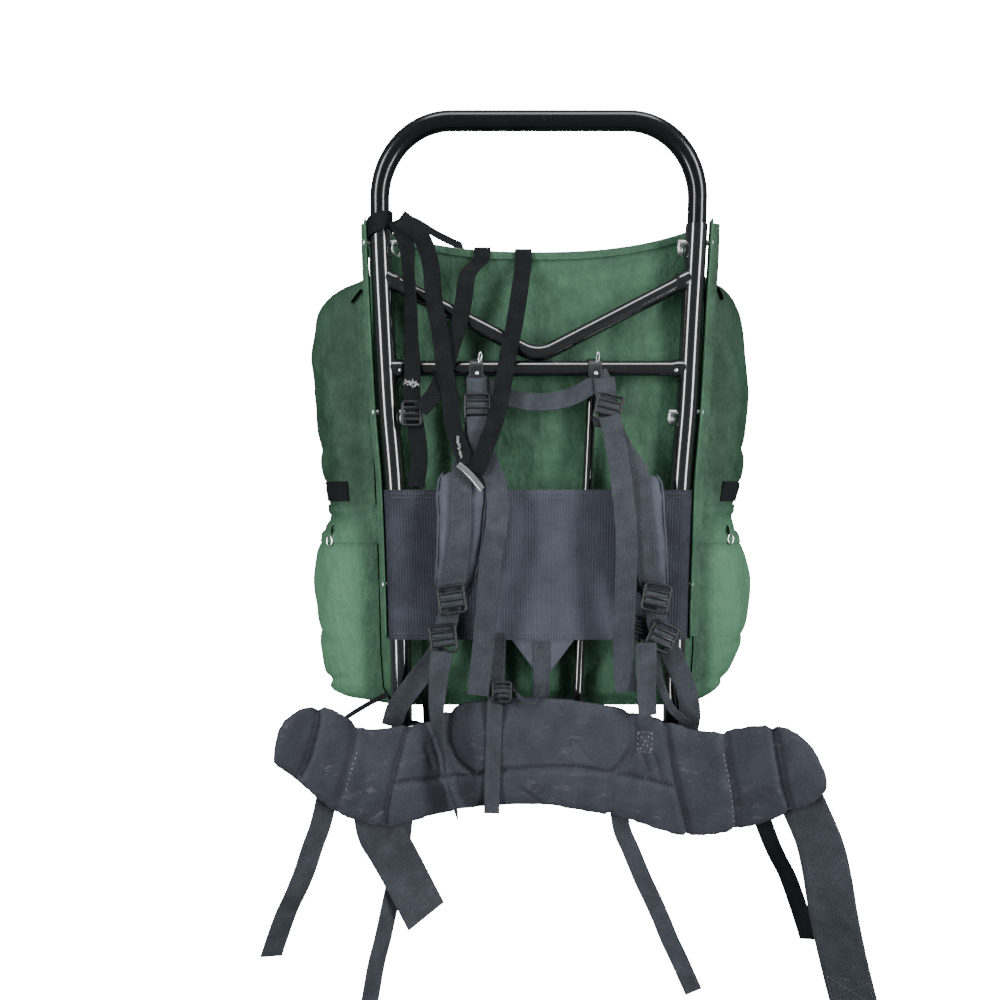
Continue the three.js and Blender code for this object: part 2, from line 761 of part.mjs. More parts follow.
// A plastic ladder-lock: a rounded plate with slots between its bars
function lockShape(width, height) {
  const w = width / 2;
  const h = height / 2;
  const c = 4;
  const shape = new THREE.Shape();
  shape.moveTo(-w + c, -h);
  shape.lineTo(w - c, -h);
  shape.lineTo(w, -h + c);
  shape.lineTo(w, h - c);
  shape.lineTo(w - c, h);
  shape.lineTo(-w + c, h);
  shape.lineTo(-w, h - c);
  shape.lineTo(-w, -h + c);
  shape.closePath();
  const slotHalf = w - 3;
  for (const middle of [h - lockBar - slotHeight / 2, -h + lockBar + slotHeight / 2]) {
    const hole = new THREE.Path();
    hole.moveTo(-slotHalf, middle - slotHeight / 2);
    hole.lineTo(-slotHalf, middle + slotHeight / 2);
    hole.lineTo(slotHalf, middle + slotHeight / 2);
    hole.lineTo(slotHalf, middle - slotHeight / 2);
    hole.closePath();
    shape.holes.push(hole);
  }
  return shape;
}

// A lock lies on the front of the webbing that passes behind it
const lockProbes = 12;

function buildLock(name, { x, down, tilt }, size, path, finish = "plastic") {
  const z = -down * frameHeight;
  const reachZ = size.height * 0.62;
  let front = Infinity;
  for (let i = 0; i + 1 < path.length; i += 1) {
    for (let k = 0; k <= lockProbes; k += 1) {
      const point = path[i].clone().lerp(path[i + 1], k / lockProbes);
      if (Math.abs(point.z - z) < reachZ) {
        front = Math.min(front, point.y);
      }
    }
  }
  const backFace = front - webbingThickness / 2 - gap;
  const options = { depth: lockThickness, bevelEnabled: false, steps: 1 };
  const geometry = new THREE.ExtrudeGeometry(lockShape(size.width, size.height), options);
  geometry.rotateX(Math.PI / 2);
  const mesh = place(name, geometry, finish);
  mesh.rotation.y = THREE.MathUtils.degToRad(tilt);
  mesh.position.set(x * frameHalf, backFace, z);
  return backFace - lockThickness;
}

// Shoulder pads: a lens section carried down a bowed line
const padRows = {
  left: [
    { x: -0.475, down: 0.545, out: 0.09, half: 0.8, thick: 0.5 },
    { x: -0.475, down: 0.56, out: 0.14, half: 0.98, thick: 0.85 },
    { x: -0.48, down: 0.585, out: 0.21, half: 1, thick: 1 },
    { x: -0.48, down: 0.62, out: 0.28, half: 0.92, thick: 1 },
    { x: -0.49, down: 0.66, out: 0.3, half: 0.88, thick: 1 },
    { x: -0.505, down: 0.695, out: 0.27, half: 0.84, thick: 0.95 },
    { x: -0.53, down: 0.73, out: 0.2, half: 0.74, thick: 0.8 },
    { x: -0.54, down: 0.74, out: 0.18, half: 0.66, thick: 0.45 },
  ],
  right: [
    { x: 0.615, down: 0.55, out: 0.09, half: 0.8, thick: 0.5 },
    { x: 0.615, down: 0.565, out: 0.14, half: 0.98, thick: 0.85 },
    { x: 0.615, down: 0.59, out: 0.21, half: 1, thick: 1 },
    { x: 0.62, down: 0.62, out: 0.28, half: 0.94, thick: 1 },
    { x: 0.635, down: 0.66, out: 0.3, half: 0.9, thick: 1 },
    { x: 0.65, down: 0.695, out: 0.27, half: 0.86, thick: 0.95 },
    { x: 0.68, down: 0.73, out: 0.2, half: 0.76, thick: 0.8 },
    { x: 0.69, down: 0.74, out: 0.18, half: 0.66, thick: 0.45 },
  ],
};
const padSection = [
  { wide: -1, deep: -0.35 },
  { wide: -0.75, deep: -0.9 },
  { wide: 0, deep: -1 },
  { wide: 0.75, deep: -0.9 },
  { wide: 1, deep: -0.35 },
  { wide: 1, deep: 0.35 },
  { wide: 0.75, deep: 0.9 },
  { wide: 0, deep: 1 },
  { wide: -0.75, deep: 0.9 },
  { wide: -1, deep: 0.35 },
];

function buildPad(name) {
  const rows = padRows[name];
  const path = strapPoints(rows);
  const along = tangents(path, false);
  const rings = path.map((centre, i) => {
    const wide = square(AcrossX, along[i]);
    const deep = along[i].clone().cross(wide);
    return padSection.map((point) => centre.clone()
      .addScaledVector(wide, point.wide * padHalfWidth * rows[i].half)
      .addScaledVector(deep, (point.deep * padThickness * rows[i].thick) / 2));
  });
  place(`shoulder_pad_${name}`, skin(rings, "fan"), "padding");
}

// Webbing down the middle of a pad's front, from the upper lock to the end lock
function buildPadWebbing(name, above, below) {
  const rows = padRows[name];
  const pad = strapPoints(rows);
  const along = tangents(pad, false);
  const over = pad.map((centre, i) => {
    const wide = square(AcrossX, along[i]);
    const front = wide.cross(along[i]);
    const lift = padThickness / 2 + 2 * gap + webbingThickness / 2;
    return centre.clone().addScaledVector(front, front.y < 0 ? lift : -lift);
  });
  const path = [...strapPoints(above), ...over, ...strapPoints(below)];
  const geometry = ribbon(path, webbingWidth, webbingThickness, AcrossX, path.map(() => 0));
  place(`pad_webbing_${name}`, geometry, "webbing");
  return path;
}

function buildShoulders() {
  const lock = { width: lockWidth, height: lockHeight };
  const left = buildPadWebbing("left", [
    { x: -0.39, down: 0.39, out: -0.032 },
    { x: -0.39, down: 0.44, out: -0.005 },
    { x: -0.4, down: 0.475, out: 0.03 },
    { x: -0.44, down: 0.515, out: 0.1 },
  ], [
    { x: -0.545, down: 0.755, out: 0.2 },
    { x: -0.565, down: 0.78, out: 0.18 },
    { x: -0.59, down: 0.81, out: 0.18 },
  ]);
  const right = buildPadWebbing("right", [
    { x: 0.42, down: 0.39, out: -0.032 },
    { x: 0.44, down: 0.44, out: -0.005 },
    { x: 0.47, down: 0.475, out: 0.03 },
    { x: 0.54, down: 0.515, out: 0.1 },
  ], [
    { x: 0.7, down: 0.755, out: 0.2 },
    { x: 0.725, down: 0.78, out: 0.18 },
    { x: 0.755, down: 0.81, out: 0.18 },
  ]);
  buildPad("left");
  buildPad("right");
  buildLock("ladder_lock_upper_left", { x: -0.385, down: 0.44, tilt: 0 }, lock, left);
  buildLock("ladder_lock_upper_right", { x: 0.44, down: 0.441, tilt: 14 }, lock, right);
  buildLock("ladder_lock_middle_left", { x: -0.537, down: 0.75, tilt: -8 }, lock, left);
  buildLock("ladder_lock_middle_right", { x: 0.71, down: 0.747, tilt: 12 }, lock, right);
  buildLock("ladder_lock_end_left", { x: -0.594, down: 0.815, tilt: -6 }, lock, left);
  buildLock("ladder_lock_end_right", { x: 0.76, down: 0.812, tilt: 24 }, lock, right);
  buildStrap("long_tail_left", [
    { x: -0.385, down: 0.455, out: 0.085 },
    { x: -0.375, down: 0.49, out: 0.12 },
    { x: -0.32, down: 0.53, out: 0.17 },
    { x: -0.265, down: 0.57, out: 0.24 },
    { x: -0.26, down: 0.625, out: 0.36 },
    { x: -0.3, down: 0.69, out: 0.38 },
    { x: -0.32, down: 0.75, out: 0.32 },
    { x: -0.35, down: 0.835, out: 0.24 },
    { x: -0.38, down: 0.905, out: 0.23 },
  ], webbingWidth, "webbing");
  buildStrap("long_tail_right", [
    { x: 0.44, down: 0.455, out: 0.09 },
    { x: 0.47, down: 0.49, out: 0.13 },
    { x: 0.49, down: 0.53, out: 0.22 },
    { x: 0.505, down: 0.585, out: 0.36 },
    { x: 0.52, down: 0.655, out: 0.43 },
    { x: 0.515, down: 0.76, out: 0.36 },
    { x: 0.515, down: 0.84, out: 0.26 },
    { x: 0.535, down: 0.9, out: 0.24 },
  ], webbingWidth, "webbing");
  buildStrap("lower_webbing_left", [
    { x: -0.61, down: 0.83, out: 0.12 },
    { x: -0.68, down: 0.86, out: 0.08 },
    { x: -0.76, down: 0.885, out: 0.04 },
    { x: -0.83, down: 0.91, out: 0.02 },
    { x: -0.895, down: 0.935, out: 0 },
    { x: -0.93, down: 0.965, out: -0.015 },
  ], webbingWidth, "webbing");
  buildStrap("lower_webbing_right", [
    { x: 0.8, down: 0.83, out: 0.12 },
    { x: 0.845, down: 0.85, out: 0.08 },
    { x: 0.89, down: 0.875, out: 0.04 },
    { x: 0.935, down: 0.905, out: 0.02 },
    { x: 0.96, down: 0.945, out: 0 },
    { x: 0.95, down: 0.97, out: -0.02 },
  ], webbingWidth, "webbing");
  buildStrap("lower_tail_left", [
    { x: -0.6, down: 0.835, out: 0.246 },
    { x: -0.62, down: 0.88, out: 0.32, turn: 28 },
    { x: -0.63, down: 0.92, out: 0.36, turn: 42 },
    { x: -0.62, down: 0.95, out: 0.38, turn: 50 },
    { x: -0.6, down: 0.975, out: 0.39, turn: 64 },
    { x: -0.58, down: 1, out: 0.39, turn: 76 },
    { x: -0.57, down: 1.03, out: 0.39, turn: 82 },
    { x: -0.54, down: 1.06, out: 0.38, turn: 85 },
    { x: -0.5, down: 1.09, out: 0.37, turn: 85 },
  ], webbingWidth, "webbing", AcrossX, 1);
  buildStrap("lower_tail_right", [
    { x: 0.655, down: 0.82, out: 0.25 },
    { x: 0.655, down: 0.86, out: 0.27, turn: -10 },
    { x: 0.655, down: 0.9, out: 0.29, turn: -20 },
    { x: 0.66, down: 0.935, out: 0.3, turn: -25 },
  ], webbingWidth, "webbing", AcrossX, 1);
}

// The grey strap that hangs from the upper crossbar and carries the shoulder webbing
function buildYoke() {
  const seat = frameBack(-upperBarDrop) - barFront;
  const deeper = seat - webbingThickness;
  const seatDown = (upperBarDrop + yokeWidth / 2) / frameHeight;
  buildStrap("yoke_webbing", [
    { x: -0.45, down: seatDown, y: seat },
    { x: -0.35, down: 0.401, y: seat },
    { x: -0.18, down: 0.423, y: deeper },
    { x: 0.01, down: 0.43, y: deeper },
    { x: 0.2, down: 0.422, y: deeper },
    { x: 0.36, down: 0.4, y: seat },
    { x: 0.46, down: seatDown, y: seat },
  ], yokeWidth, "webbing", Up);
}

// The hip belt's outline and padding: x as a share of beltHalf, heights as shares of beltHeight
const beltRows = [
  { x: -1, top: 0.27, bottom: 0.38, thick: 0.3 },
  { x: -0.985, top: 0.1, bottom: 0.42, thick: 0.6 },
  { x: -0.945, top: -0.015, bottom: 0.515, thick: 0.9 },
  { x: -0.886, top: -0.07, bottom: 0.68, thick: 0.7 },
  { x: -0.824, top: -0.03, bottom: 0.86, thick: 1 },
  { x: -0.76, top: 0.08, bottom: 0.97, thick: 0.95 },
  { x: -0.7, top: 0.19, bottom: 1.05, thick: 0.7 },
  { x: -0.623, top: 0.22, bottom: 1.13, thick: 1 },
  { x: -0.56, top: 0.215, bottom: 1.12, thick: 0.7 },
  { x: -0.453, top: 0.19, bottom: 1.08, thick: 1 },
  { x: -0.37, top: 0.08, bottom: 1.055, thick: 0.75 },
  { x: -0.246, top: 0.03, bottom: 1.02, thick: 1 },
  { x: -0.024, top: 0, bottom: 1, thick: 1 },
  { x: 0.218, top: 0.055, bottom: 1.085, thick: 1 },
  { x: 0.35, top: 0.12, bottom: 1.15, thick: 0.75 },
  { x: 0.45, top: 0.17, bottom: 1.2, thick: 1 },
  { x: 0.545, top: 0.22, bottom: 1.24, thick: 0.7 },
  { x: 0.62, top: 0.25, bottom: 1.19, thick: 1 },
  { x: 0.7, top: 0.2, bottom: 1.13, thick: 0.7 },
  { x: 0.78, top: 0.14, bottom: 1.03, thick: 1 },
  { x: 0.841, top: 0.11, bottom: 0.945, thick: 0.7 },
  { x: 0.9, top: 0.125, bottom: 0.835, thick: 0.95 },
  { x: 0.962, top: 0.25, bottom: 0.725, thick: 0.7 },
  { x: 1, top: 0.45, bottom: 0.6, thick: 0.3 },
];
const beltSection = [
  { up: 0, deep: 0.3 },
  { up: 0.14, deep: 0.82 },
  { up: 0.5, deep: 1 },
  { up: 0.86, deep: 0.82 },
  { up: 1, deep: 0.3 },
  { up: 1, deep: -0.3 },
  { up: 0.86, deep: -0.82 },
  { up: 0.5, deep: -1 },
  { up: 0.14, deep: -0.82 },
  { up: 0, deep: -0.3 },
];

const beltSeat = harnessY(-frameHeight, 0) - webbingThickness / 2 - gap - beltThickness / 2;

function beltY(x) {
  const share = Math.max(0, (Math.abs(x - beltShift) - beltFlat) / (beltHalf - beltFlat));
  return beltSeat - beltWingReach * share ** beltWingPower;
}

function beltNormal(x) {
  const step = 1;
  const slope = (beltY(x + step) - beltY(x - step)) / (2 * step);
  return vector(slope, -1, 0).normalize();
}

function buildBelt() {
  const rings = beltRows.map((row) => {
    const x = beltShift + row.x * beltHalf;
    const top = -beltDrop - row.top * beltHeight;
    const bottom = -beltDrop - row.bottom * beltHeight;
    const front = beltNormal(x);
    return beltSection.map(({ up, deep }) => {
      const centre = vector(x, beltY(x), THREE.MathUtils.lerp(bottom, top, up));
      return centre.addScaledVector(front, (deep * row.thick * beltThickness) / 2);
    });
  });
  place("hip_belt", skin(rings, "fan"), "padding");
}

// How far the belt's outer face stands out from its line at the root, over a wide strap's width
function beltStandoff(root) {
  const back = beltNormal(root).negate();
  const foot = vector(root, beltY(root), 0);
  const near = beltRows.map((row) => ({ x: beltShift + row.x * beltHalf, thick: row.thick }));
  const heights = near.filter(({ x }) => Math.abs(x - root) < waistWidth).map(({ x, thick }) => {
    const face = vector(x, beltY(x), 0).addScaledVector(beltNormal(x), (-thick * beltThickness) / 2);
    return face.sub(foot).dot(back);
  });
  return Math.max(...heights);
}

// A belt strap is sewn behind the belt, in the plane that touches the belt at its root, and
// leaves that plane where it is further from the root than follow. Root and x are shares of beltStrapUnit.
const beltStrapUnit = beltHalf * 0.6436;

function buildBeltStrap(name, { rootShare, layer, follow }, width, finish, rows) {
  const root = rootShare * beltStrapUnit;
  const front = beltNormal(root);
  const lift = beltStandoff(root) + gap + webbingThickness / 2 + layer * (webbingThickness + gap);
  const seat = beltY(root) + lift / Math.abs(front.y);
  const slope = -front.x / front.y;
  const placed = rows.map((row) => {
    const x = row.x * beltStrapUnit;
    const run = THREE.MathUtils.clamp(x - root, -follow, follow);
    return { ...row, x: x / frameHalf, y: seat + slope * run + (row.back ?? 0) * reach };
  });
  buildStrap(name, placed, width, finish, vector(1, slope, 0).normalize(), 1);
}

function buildBeltStraps() {
  buildBeltStrap("belt_strap_left_outer", { rootShare: -1.2688, layer: 0, follow: 25 }, webbingWidth, "webbing", [
    { x: -1.23, down: 0.99 },
    { x: -1.26, down: 1.04 },
    { x: -1.3, down: 1.09 },
    { x: -1.34, down: 1.12 },
    { x: -1.375, down: 1.15 },
    { x: -1.42, down: 1.18 },
    { x: -1.475, down: 1.21 },
    { x: -1.525, down: 1.245 },
    { x: -1.57, down: 1.28 },
  ]);
  buildBeltStrap("waist_webbing_left", { rootShare: -0.9677, layer: 0, follow: 25 }, waistWidth, "webbing", [
    { x: -1.02, down: 1.02 },
    { x: -1.01, down: 1.07 },
    { x: -0.985, down: 1.115 },
    { x: -0.92, down: 1.15 },
    { x: -0.83, down: 1.2 },
    { x: -0.75, down: 1.24 },
    { x: -0.7, down: 1.265 },
  ]);
  buildBeltStrap("belt_strap_left_inner", { rootShare: -0.9677, layer: 1, follow: 25 }, beltStrapWidth, "webbing", [
    { x: -0.83, down: 1.03 },
    { x: -0.835, down: 1.09 },
    { x: -0.855, down: 1.15 },
    { x: -0.905, down: 1.22, back: 0.03 },
    { x: -0.945, down: 1.27, back: 0.03 },
    { x: -0.97, down: 1.3, back: 0.03 },
    { x: -1, down: 1.33, back: 0.03 },
    { x: -1.04, down: 1.39, back: 0.03 },
  ]);
  buildBeltStrap("belt_strap_right_inner", { rootShare: 0.5269, layer: 0, follow: 25 }, beltStrapWidth, "webbing", [
    { x: 0.48, down: 1.02 },
    { x: 0.5, down: 1.08 },
    { x: 0.53, down: 1.135 },
    { x: 0.58, down: 1.165 },
    { x: 0.66, down: 1.215 },
    { x: 0.715, down: 1.245 },
    { x: 0.775, down: 1.28 },
    { x: 0.83, down: 1.315 },
    { x: 0.885, down: 1.345 },
    { x: 0.98, down: 1.4 },
  ]);
  buildBeltStrap("waist_webbing_right", { rootShare: 1.5054, layer: -0.4, follow: 25 }, waistWidth, "webbing", [
    { x: 1.46, down: 1.02 },
    { x: 1.52, down: 1.06 },
    { x: 1.575, down: 1.1 },
    { x: 1.605, down: 1.14 },
    { x: 1.63, down: 1.19 },
    { x: 1.67, down: 1.245 },
    { x: 1.73, down: 1.31 },
    { x: 1.76, down: 1.34 },
  ]);
  buildBeltStrap("belt_strap_right_outer", { rootShare: 1.2903, layer: 0, follow: 4 }, lashWidth, "lash", [
    { x: 1.27, down: 1.02 },
    { x: 1.3, down: 1.07 },
    { x: 1.35, down: 1.11 },
    { x: 1.4, down: 1.14 },
    { x: 1.46, down: 1.17 },
    { x: 1.51, down: 1.205 },
    { x: 1.555, down: 1.24 },
    { x: 1.59, down: 1.27 },
  ]);
}

// The triangular gusset under the band, the webbing on it, and the strap that holds the belt up
function buildLumbar() {
  const top = -bandDrop.bottom + 14;
  const middle = 0.03 * frameHalf;
  const innerY = frameBack(top) - sideTubeRadius;
  const outline = [
    { x: -gussetHalfWidth, z: top },
    { x: -gussetHalfWidth, z: -bandDrop.bottom },
    { x: -gussetHalfWidth * 0.28, z: -gussetDrop },
    { x: gussetHalfWidth * 0.28, z: -gussetDrop },
    { x: gussetHalfWidth, z: -bandDrop.bottom },
    { x: gussetHalfWidth, z: top },
  ];
  const rows = [0, 1, 2].map((i) => [outline[i], outline[5 - i]]);
  const grid = (y) => rows.map((row) => row.map(({ x, z }) => vector(middle + x, y, z)));
  place("lumbar_gusset", slab(grid(innerY), grid(innerY + gussetWall)), "padding");
  const bandFoot = bandDrop.bottom / frameHeight;
  const onGusset = innerY - gap - webbingThickness / 2;
  buildStrap("lumbar_webbing", [
    { x: 0.02, down: bandFoot + 0.003, y: onGusset },
    { x: 0.02, down: 0.85, y: onGusset },
    { x: 0.02, down: 0.88, out: 0 },
    { x: 0.015, down: 0.935, out: 0 },
  ], lashWidth, "webbing", AcrossX, 1);
  const belt = (harnessY(-beltDrop, 0) - beltSeat + beltThickness / 2 + webbingThickness / 2 + gap) / reach;
  const path = buildStrap("belt_centre_strap", [
    { x: -0.252, down: bandFoot - 0.012, out: 0 },
    { x: -0.256, down: 0.85, out: 0.02 },
    { x: -0.263, down: 0.885, out: belt * 0.45 },
    { x: -0.27, down: 0.912, out: belt * 0.95 },
    { x: -0.276, down: 0.935, out: belt * 1.03 },
    { x: -0.283, down: 0.985, out: belt * 1.02 },
    { x: -0.295, down: 1.096, out: belt * 1.02 },
  ], lashWidth * 0.9, "webbing", AcrossX, 1);
  const size = { width: centreLockWidth, height: centreLockHeight };
  buildLock("belt_centre_lock", { x: -0.23, down: 0.9, tilt: 0 }, size, path);
}

// Black lash straps: two come over the lid's back edge and two off the wrap round the left tube
function overLid(x) {
  const lift = 4 * gap + webbingThickness;
  const stations = lidSlope.map(({ inset, rise }, i) => {
    const y = i === 0 ? bagBack - 2 * gap - lidWall - lift : bagBack + bagDepth * inset;
    return { y, z: -bagTop + rimLift(x, y) + 2 * gap + lidWall + lidCrown * rise + lift };
  });
  const edge = stations[0];
  return [
    ...stations.slice().reverse().map(({ y, z }) => vector(x, y, z)),
    vector(x, edge.y - lift / 2, edge.z - lidSkirt.back * 2),
  ];
}

function buildLidStrap(name, x, rows) {
  const points = [...overLid(x * frameHalf), ...strapPoints(rows)];
  const path = smoothPath(points, points.length - 1 + rows.length);
  place(name, ribbon(path, lashWidth, webbingThickness, AcrossX, path.map(() => 0)), "lash");
}

function buildLash() {
  const wrapZ = -sideTubeTop - 2;
  const wrapTilt = 5;
  const radius = sideTubeRadius + 4 * gap + webbingThickness / 2;
  const axis = tubeAt(-1, wrapZ + wrapTilt).sub(tubeAt(-1, wrapZ - wrapTilt)).normalize();
  const loop = range(sides.tube, (i) => {
    const angle = (2 * Math.PI * i) / sides.tube;
    const z = wrapZ + wrapTilt * Math.cos(angle);
    const centre = tubeAt(-1, z);
    return vector(centre.x + radius * Math.cos(angle), centre.y + radius * Math.sin(angle), z);
  });
  place("lash_wrap", ribbon(loop, lashWidth, webbingThickness, axis, loop.map(() => 0), true), "lash");

  const outer = buildStrap("lash_strap_outer", [
    { x: -0.885, down: 0.14, out: 0.03 },
    { x: -0.825, down: 0.18, out: 0.05, turn: 20 },
    { x: -0.815, down: 0.22, out: 0.06, turn: 40 },
    { x: -0.805, down: 0.265, out: 0.06, turn: 40 },
    { x: -0.8, down: 0.33, out: 0.06, turn: 30 },
    { x: -0.795, down: 0.385, out: 0.04, turn: 8 },
    { x: -0.8, down: 0.42, out: 0.01 },
    { x: -0.79, down: 0.45, out: 0 },
    { x: -0.77, down: 0.48, out: 0 },
    { x: -0.755, down: 0.52, out: 0 },
    { x: -0.775, down: 0.57, out: 0 },
  ], lashWidth, "lash", AcrossX, 1);
  const size = { width: lashLockWidth, height: lashLockHeight };
  buildLock("lash_lock", { x: -0.8, down: 0.45, tilt: 0 }, size, outer);
  buildStrap("lash_strap_long", [
    { x: -0.86, down: 0.14, out: 0.1 },
    { x: -0.74, down: 0.165, out: 0.1 },
    { x: -0.68, down: 0.205, out: 0.07 },
    { x: -0.655, down: 0.27, out: 0.05 },
    { x: -0.615, down: 0.325, out: 0.06 },
    { x: -0.59, down: 0.38, out: 0.08 },
    { x: -0.56, down: 0.415, out: 0.09 },
    { x: -0.54, down: 0.465, out: 0.12 },
    { x: -0.5, down: 0.5, out: 0.18 },
    { x: -0.44, down: 0.535, out: 0.25 },
  ], lashWidth, "lash", AcrossX, 1);
  buildLidStrap("lash_strap_inner", -0.36, [
    { x: -0.45, down: 0.225, out: 0 },
    { x: -0.47, down: 0.26, out: 0 },
    { x: -0.5, down: 0.3, out: 0 },
    { x: -0.555, down: 0.345, out: 0.02 },
    { x: -0.6, down: 0.385, out: 0.03 },
    { x: -0.66, down: 0.42, out: 0.065 },
    { x: -0.745, down: 0.445, out: 0.09 },
  ]);
  buildLidStrap("lash_strap_middle", -0.09, [
    { x: -0.12, down: 0.25, out: 0 },
    { x: -0.16, down: 0.315, out: 0.02 },
    { x: -0.2, down: 0.365, out: 0.06 },
    { x: -0.23, down: 0.415, out: 0.12 },
    { x: -0.27, down: 0.46, out: 0.17 },
    { x: -0.33, down: 0.505, out: 0.24 },
    { x: -0.395, down: 0.548, out: 0.275 },
  ]);
  const hook = strapPoints([
    { x: -0.5, down: 0.535, out: 0.295 },
    { x: -0.43, down: 0.55, out: 0.3 },
    { x: -0.35, down: 0.575, out: 0.33 },
  ]);
  place("lash_hook", ribbon(hook, hookWidth, hookThickness, AcrossX, hook.map(() => 0)), "steel");
}

buildFrame();
buildVee();
buildCrossbar("upper_crossbar", upperBarDrop);
buildCrossbar("lower_crossbar", lowerBarDrop);
buildUprights();
buildPins();
buildBag();
buildLid();
buildPockets();
buildPocketStraps();
buildFlanges();
buildBand();
buildYoke();
buildShoulders();
buildBelt();
buildBeltStraps();
buildLumbar();
buildLash();

export default pack;
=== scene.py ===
# %% [markdown]
# # An external frame backpack
#
# The pack hangs from its hoop, seen from the wearer's side. Its tube frame, bag and straps come from
# the CAD model; this lesson dresses them. Every cloth piece is built again as a finer surface, worked
# out with numpy from a few named sizes, and every finish is procedural.

import bpy
import numpy as np
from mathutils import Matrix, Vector
from mathutils.bvhtree import BVHTree


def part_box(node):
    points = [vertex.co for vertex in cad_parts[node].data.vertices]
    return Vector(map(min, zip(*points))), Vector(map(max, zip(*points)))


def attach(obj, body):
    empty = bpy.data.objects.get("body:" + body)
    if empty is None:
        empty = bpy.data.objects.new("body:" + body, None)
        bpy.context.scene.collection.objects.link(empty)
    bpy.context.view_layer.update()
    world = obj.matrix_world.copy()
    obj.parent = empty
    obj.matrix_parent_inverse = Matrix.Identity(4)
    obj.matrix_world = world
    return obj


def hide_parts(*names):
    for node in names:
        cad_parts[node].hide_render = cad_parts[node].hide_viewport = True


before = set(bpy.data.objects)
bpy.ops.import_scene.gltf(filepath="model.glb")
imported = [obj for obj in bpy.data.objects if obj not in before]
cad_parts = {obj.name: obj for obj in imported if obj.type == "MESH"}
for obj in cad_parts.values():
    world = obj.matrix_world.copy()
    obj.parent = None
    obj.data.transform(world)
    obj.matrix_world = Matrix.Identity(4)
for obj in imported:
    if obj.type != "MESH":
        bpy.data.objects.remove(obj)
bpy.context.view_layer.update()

# %% [markdown]
# The camera comes first, because everything else is judged through it. The photograph was taken level,
# from in front of the band, so the camera looks straight along +Y. All sizes below are in millimetres,
# and a helper turns a place in the picture into a place at some depth.

# %% Camera
CAMERA = np.array([-45.2, -860.0, -423.1])
FOCAL = 751.0  # in pixels of a picture 1000 pixels wide
PICTURE = 1000.0
MM = 0.001


def stacked(*parts):
    """Numbers side by side as points, each part spread to the shape of the largest."""
    return np.stack(np.broadcast_arrays(*parts), axis=-1)


def seen_at(px, py, depth):
    """The point at a depth in Y that shows at a pixel: offsets from the middle grow with the distance."""
    scale = (np.asarray(depth, float) - CAMERA[1]) / FOCAL
    x = CAMERA[0] + (np.asarray(px, float) - PICTURE / 2) * scale
    z = CAMERA[2] - (np.asarray(py, float) - PICTURE / 2) * scale
    return stacked(x, depth, z).astype(float)


camera_data = bpy.data.cameras.new("camera")
camera_data.sensor_width = 36.0
camera_data.lens = 36.0 * FOCAL / PICTURE
camera_data.clip_start = 0.02
camera_data.clip_end = 60.0
camera = bpy.data.objects.new("camera", camera_data)
camera.location = CAMERA * MM
camera.rotation_euler = (np.pi / 2, 0.0, 0.0)
bpy.context.scene.collection.objects.link(camera)
bpy.context.scene.camera = camera
print("lens, mm:", round(camera_data.lens, 2))

# %% [markdown]
# Shapes are drawn on smooth tables and smooth routes. A table gives a value at a few stations, and a
# cubic joins them. A route goes through a few points in space, the way a strap is laid by hand.

# %% Smooth tables and routes
def smooth_table(at, value, query):
    """A straight rise between two rows, plus a bend set by the slopes toward their neighbours."""
    at = np.asarray(at, float)
    value = np.asarray(value, float)
    query = np.asarray(query, float)
    last = len(at) - 1
    i = np.clip(np.searchsorted(at, query, side="left") - 1, 0, last - 1)
    before = np.maximum(i - 1, 0)
    after = np.minimum(i + 2, last)
    span = at[i + 1] - at[i]
    t = np.clip((query - at[i]) / span, 0, 1)
    slope_from = span * (value[i + 1] - value[before]) / (at[i + 1] - at[before])
    slope_to = span * (value[after] - value[i]) / (at[after] - at[i])
    rise = value[i + 1] - value[i]
    bend = t * (1 - t) * ((1 - t) * (slope_from - rise) - t * (slope_to - rise))
    return value[i] + rise * t + bend


def route(points, per_span=12):
    """A curve through points: cubic spans whose knots lie apart by the square root of each chord."""
    p = np.asarray(points, float)
    q = np.vstack([2 * p[0] - p[1], p, 2 * p[-1] - p[-2]])
    knots = np.maximum(np.linalg.norm(np.diff(q, axis=0), axis=1), 1e-6)[:, None] ** 0.5
    i = np.repeat(np.arange(len(p) - 1), per_span)
    t = np.tile(np.arange(per_span) / per_span, len(p) - 1)[:, None]
    a, b, c, d = q[i], q[i + 1], q[i + 2], q[i + 3]
    ab, bc, cd = knots[i], knots[i + 1], knots[i + 2]
    leave = bc * ((b - a) / ab - (c - a) / (ab + bc) + (c - b) / bc)
    arrive = bc * ((c - b) / bc - (d - b) / (bc + cd) + (d - c) / cd)
    curve = (b + leave * t + (3 * (c - b) - 2 * leave - arrive) * t ** 2
             + (2 * (b - c) + leave + arrive) * t ** 3)
    return np.vstack([curve, p[-1]])


def lengths(path):
    """The length of the path from its start to each of its points: a running sum of the steps."""
    return np.concatenate([[0], np.cumsum(np.linalg.norm(np.diff(path, axis=0), axis=1))])


def rows_at(at, length, rows):
    """Rows of three numbers that are known at some lengths, read off at others in straight lines."""
    return np.stack([np.interp(at, length, rows[:, k]) for k in range(3)], axis=1)


def evenly(path, step, *values):
    """The path and any values along it, sampled again at equal steps of length."""
    length = lengths(path)
    count = max(2, int(round(length[-1] / step)) + 1)
    at = np.linspace(0, length[-1], count)
    return (rows_at(at, length, path), at, *[np.interp(at, length, v) for v in values])


def ease(value, low, high):
    """From 0 to 1 between two values, level at both ends."""
    t = np.clip((np.asarray(value, float) - low) / (high - low), 0, 1)
    return t * t * (3 - 2 * t)


print("a table at its middle row:", smooth_table([0, 1, 2], [0, 1, 0], [1.0]))

# %% [markdown]
# The frame is two side tubes that lean forward at the top and draw together toward the feet. Their
# place at any height is needed by almost every other piece, so it is a function of height.

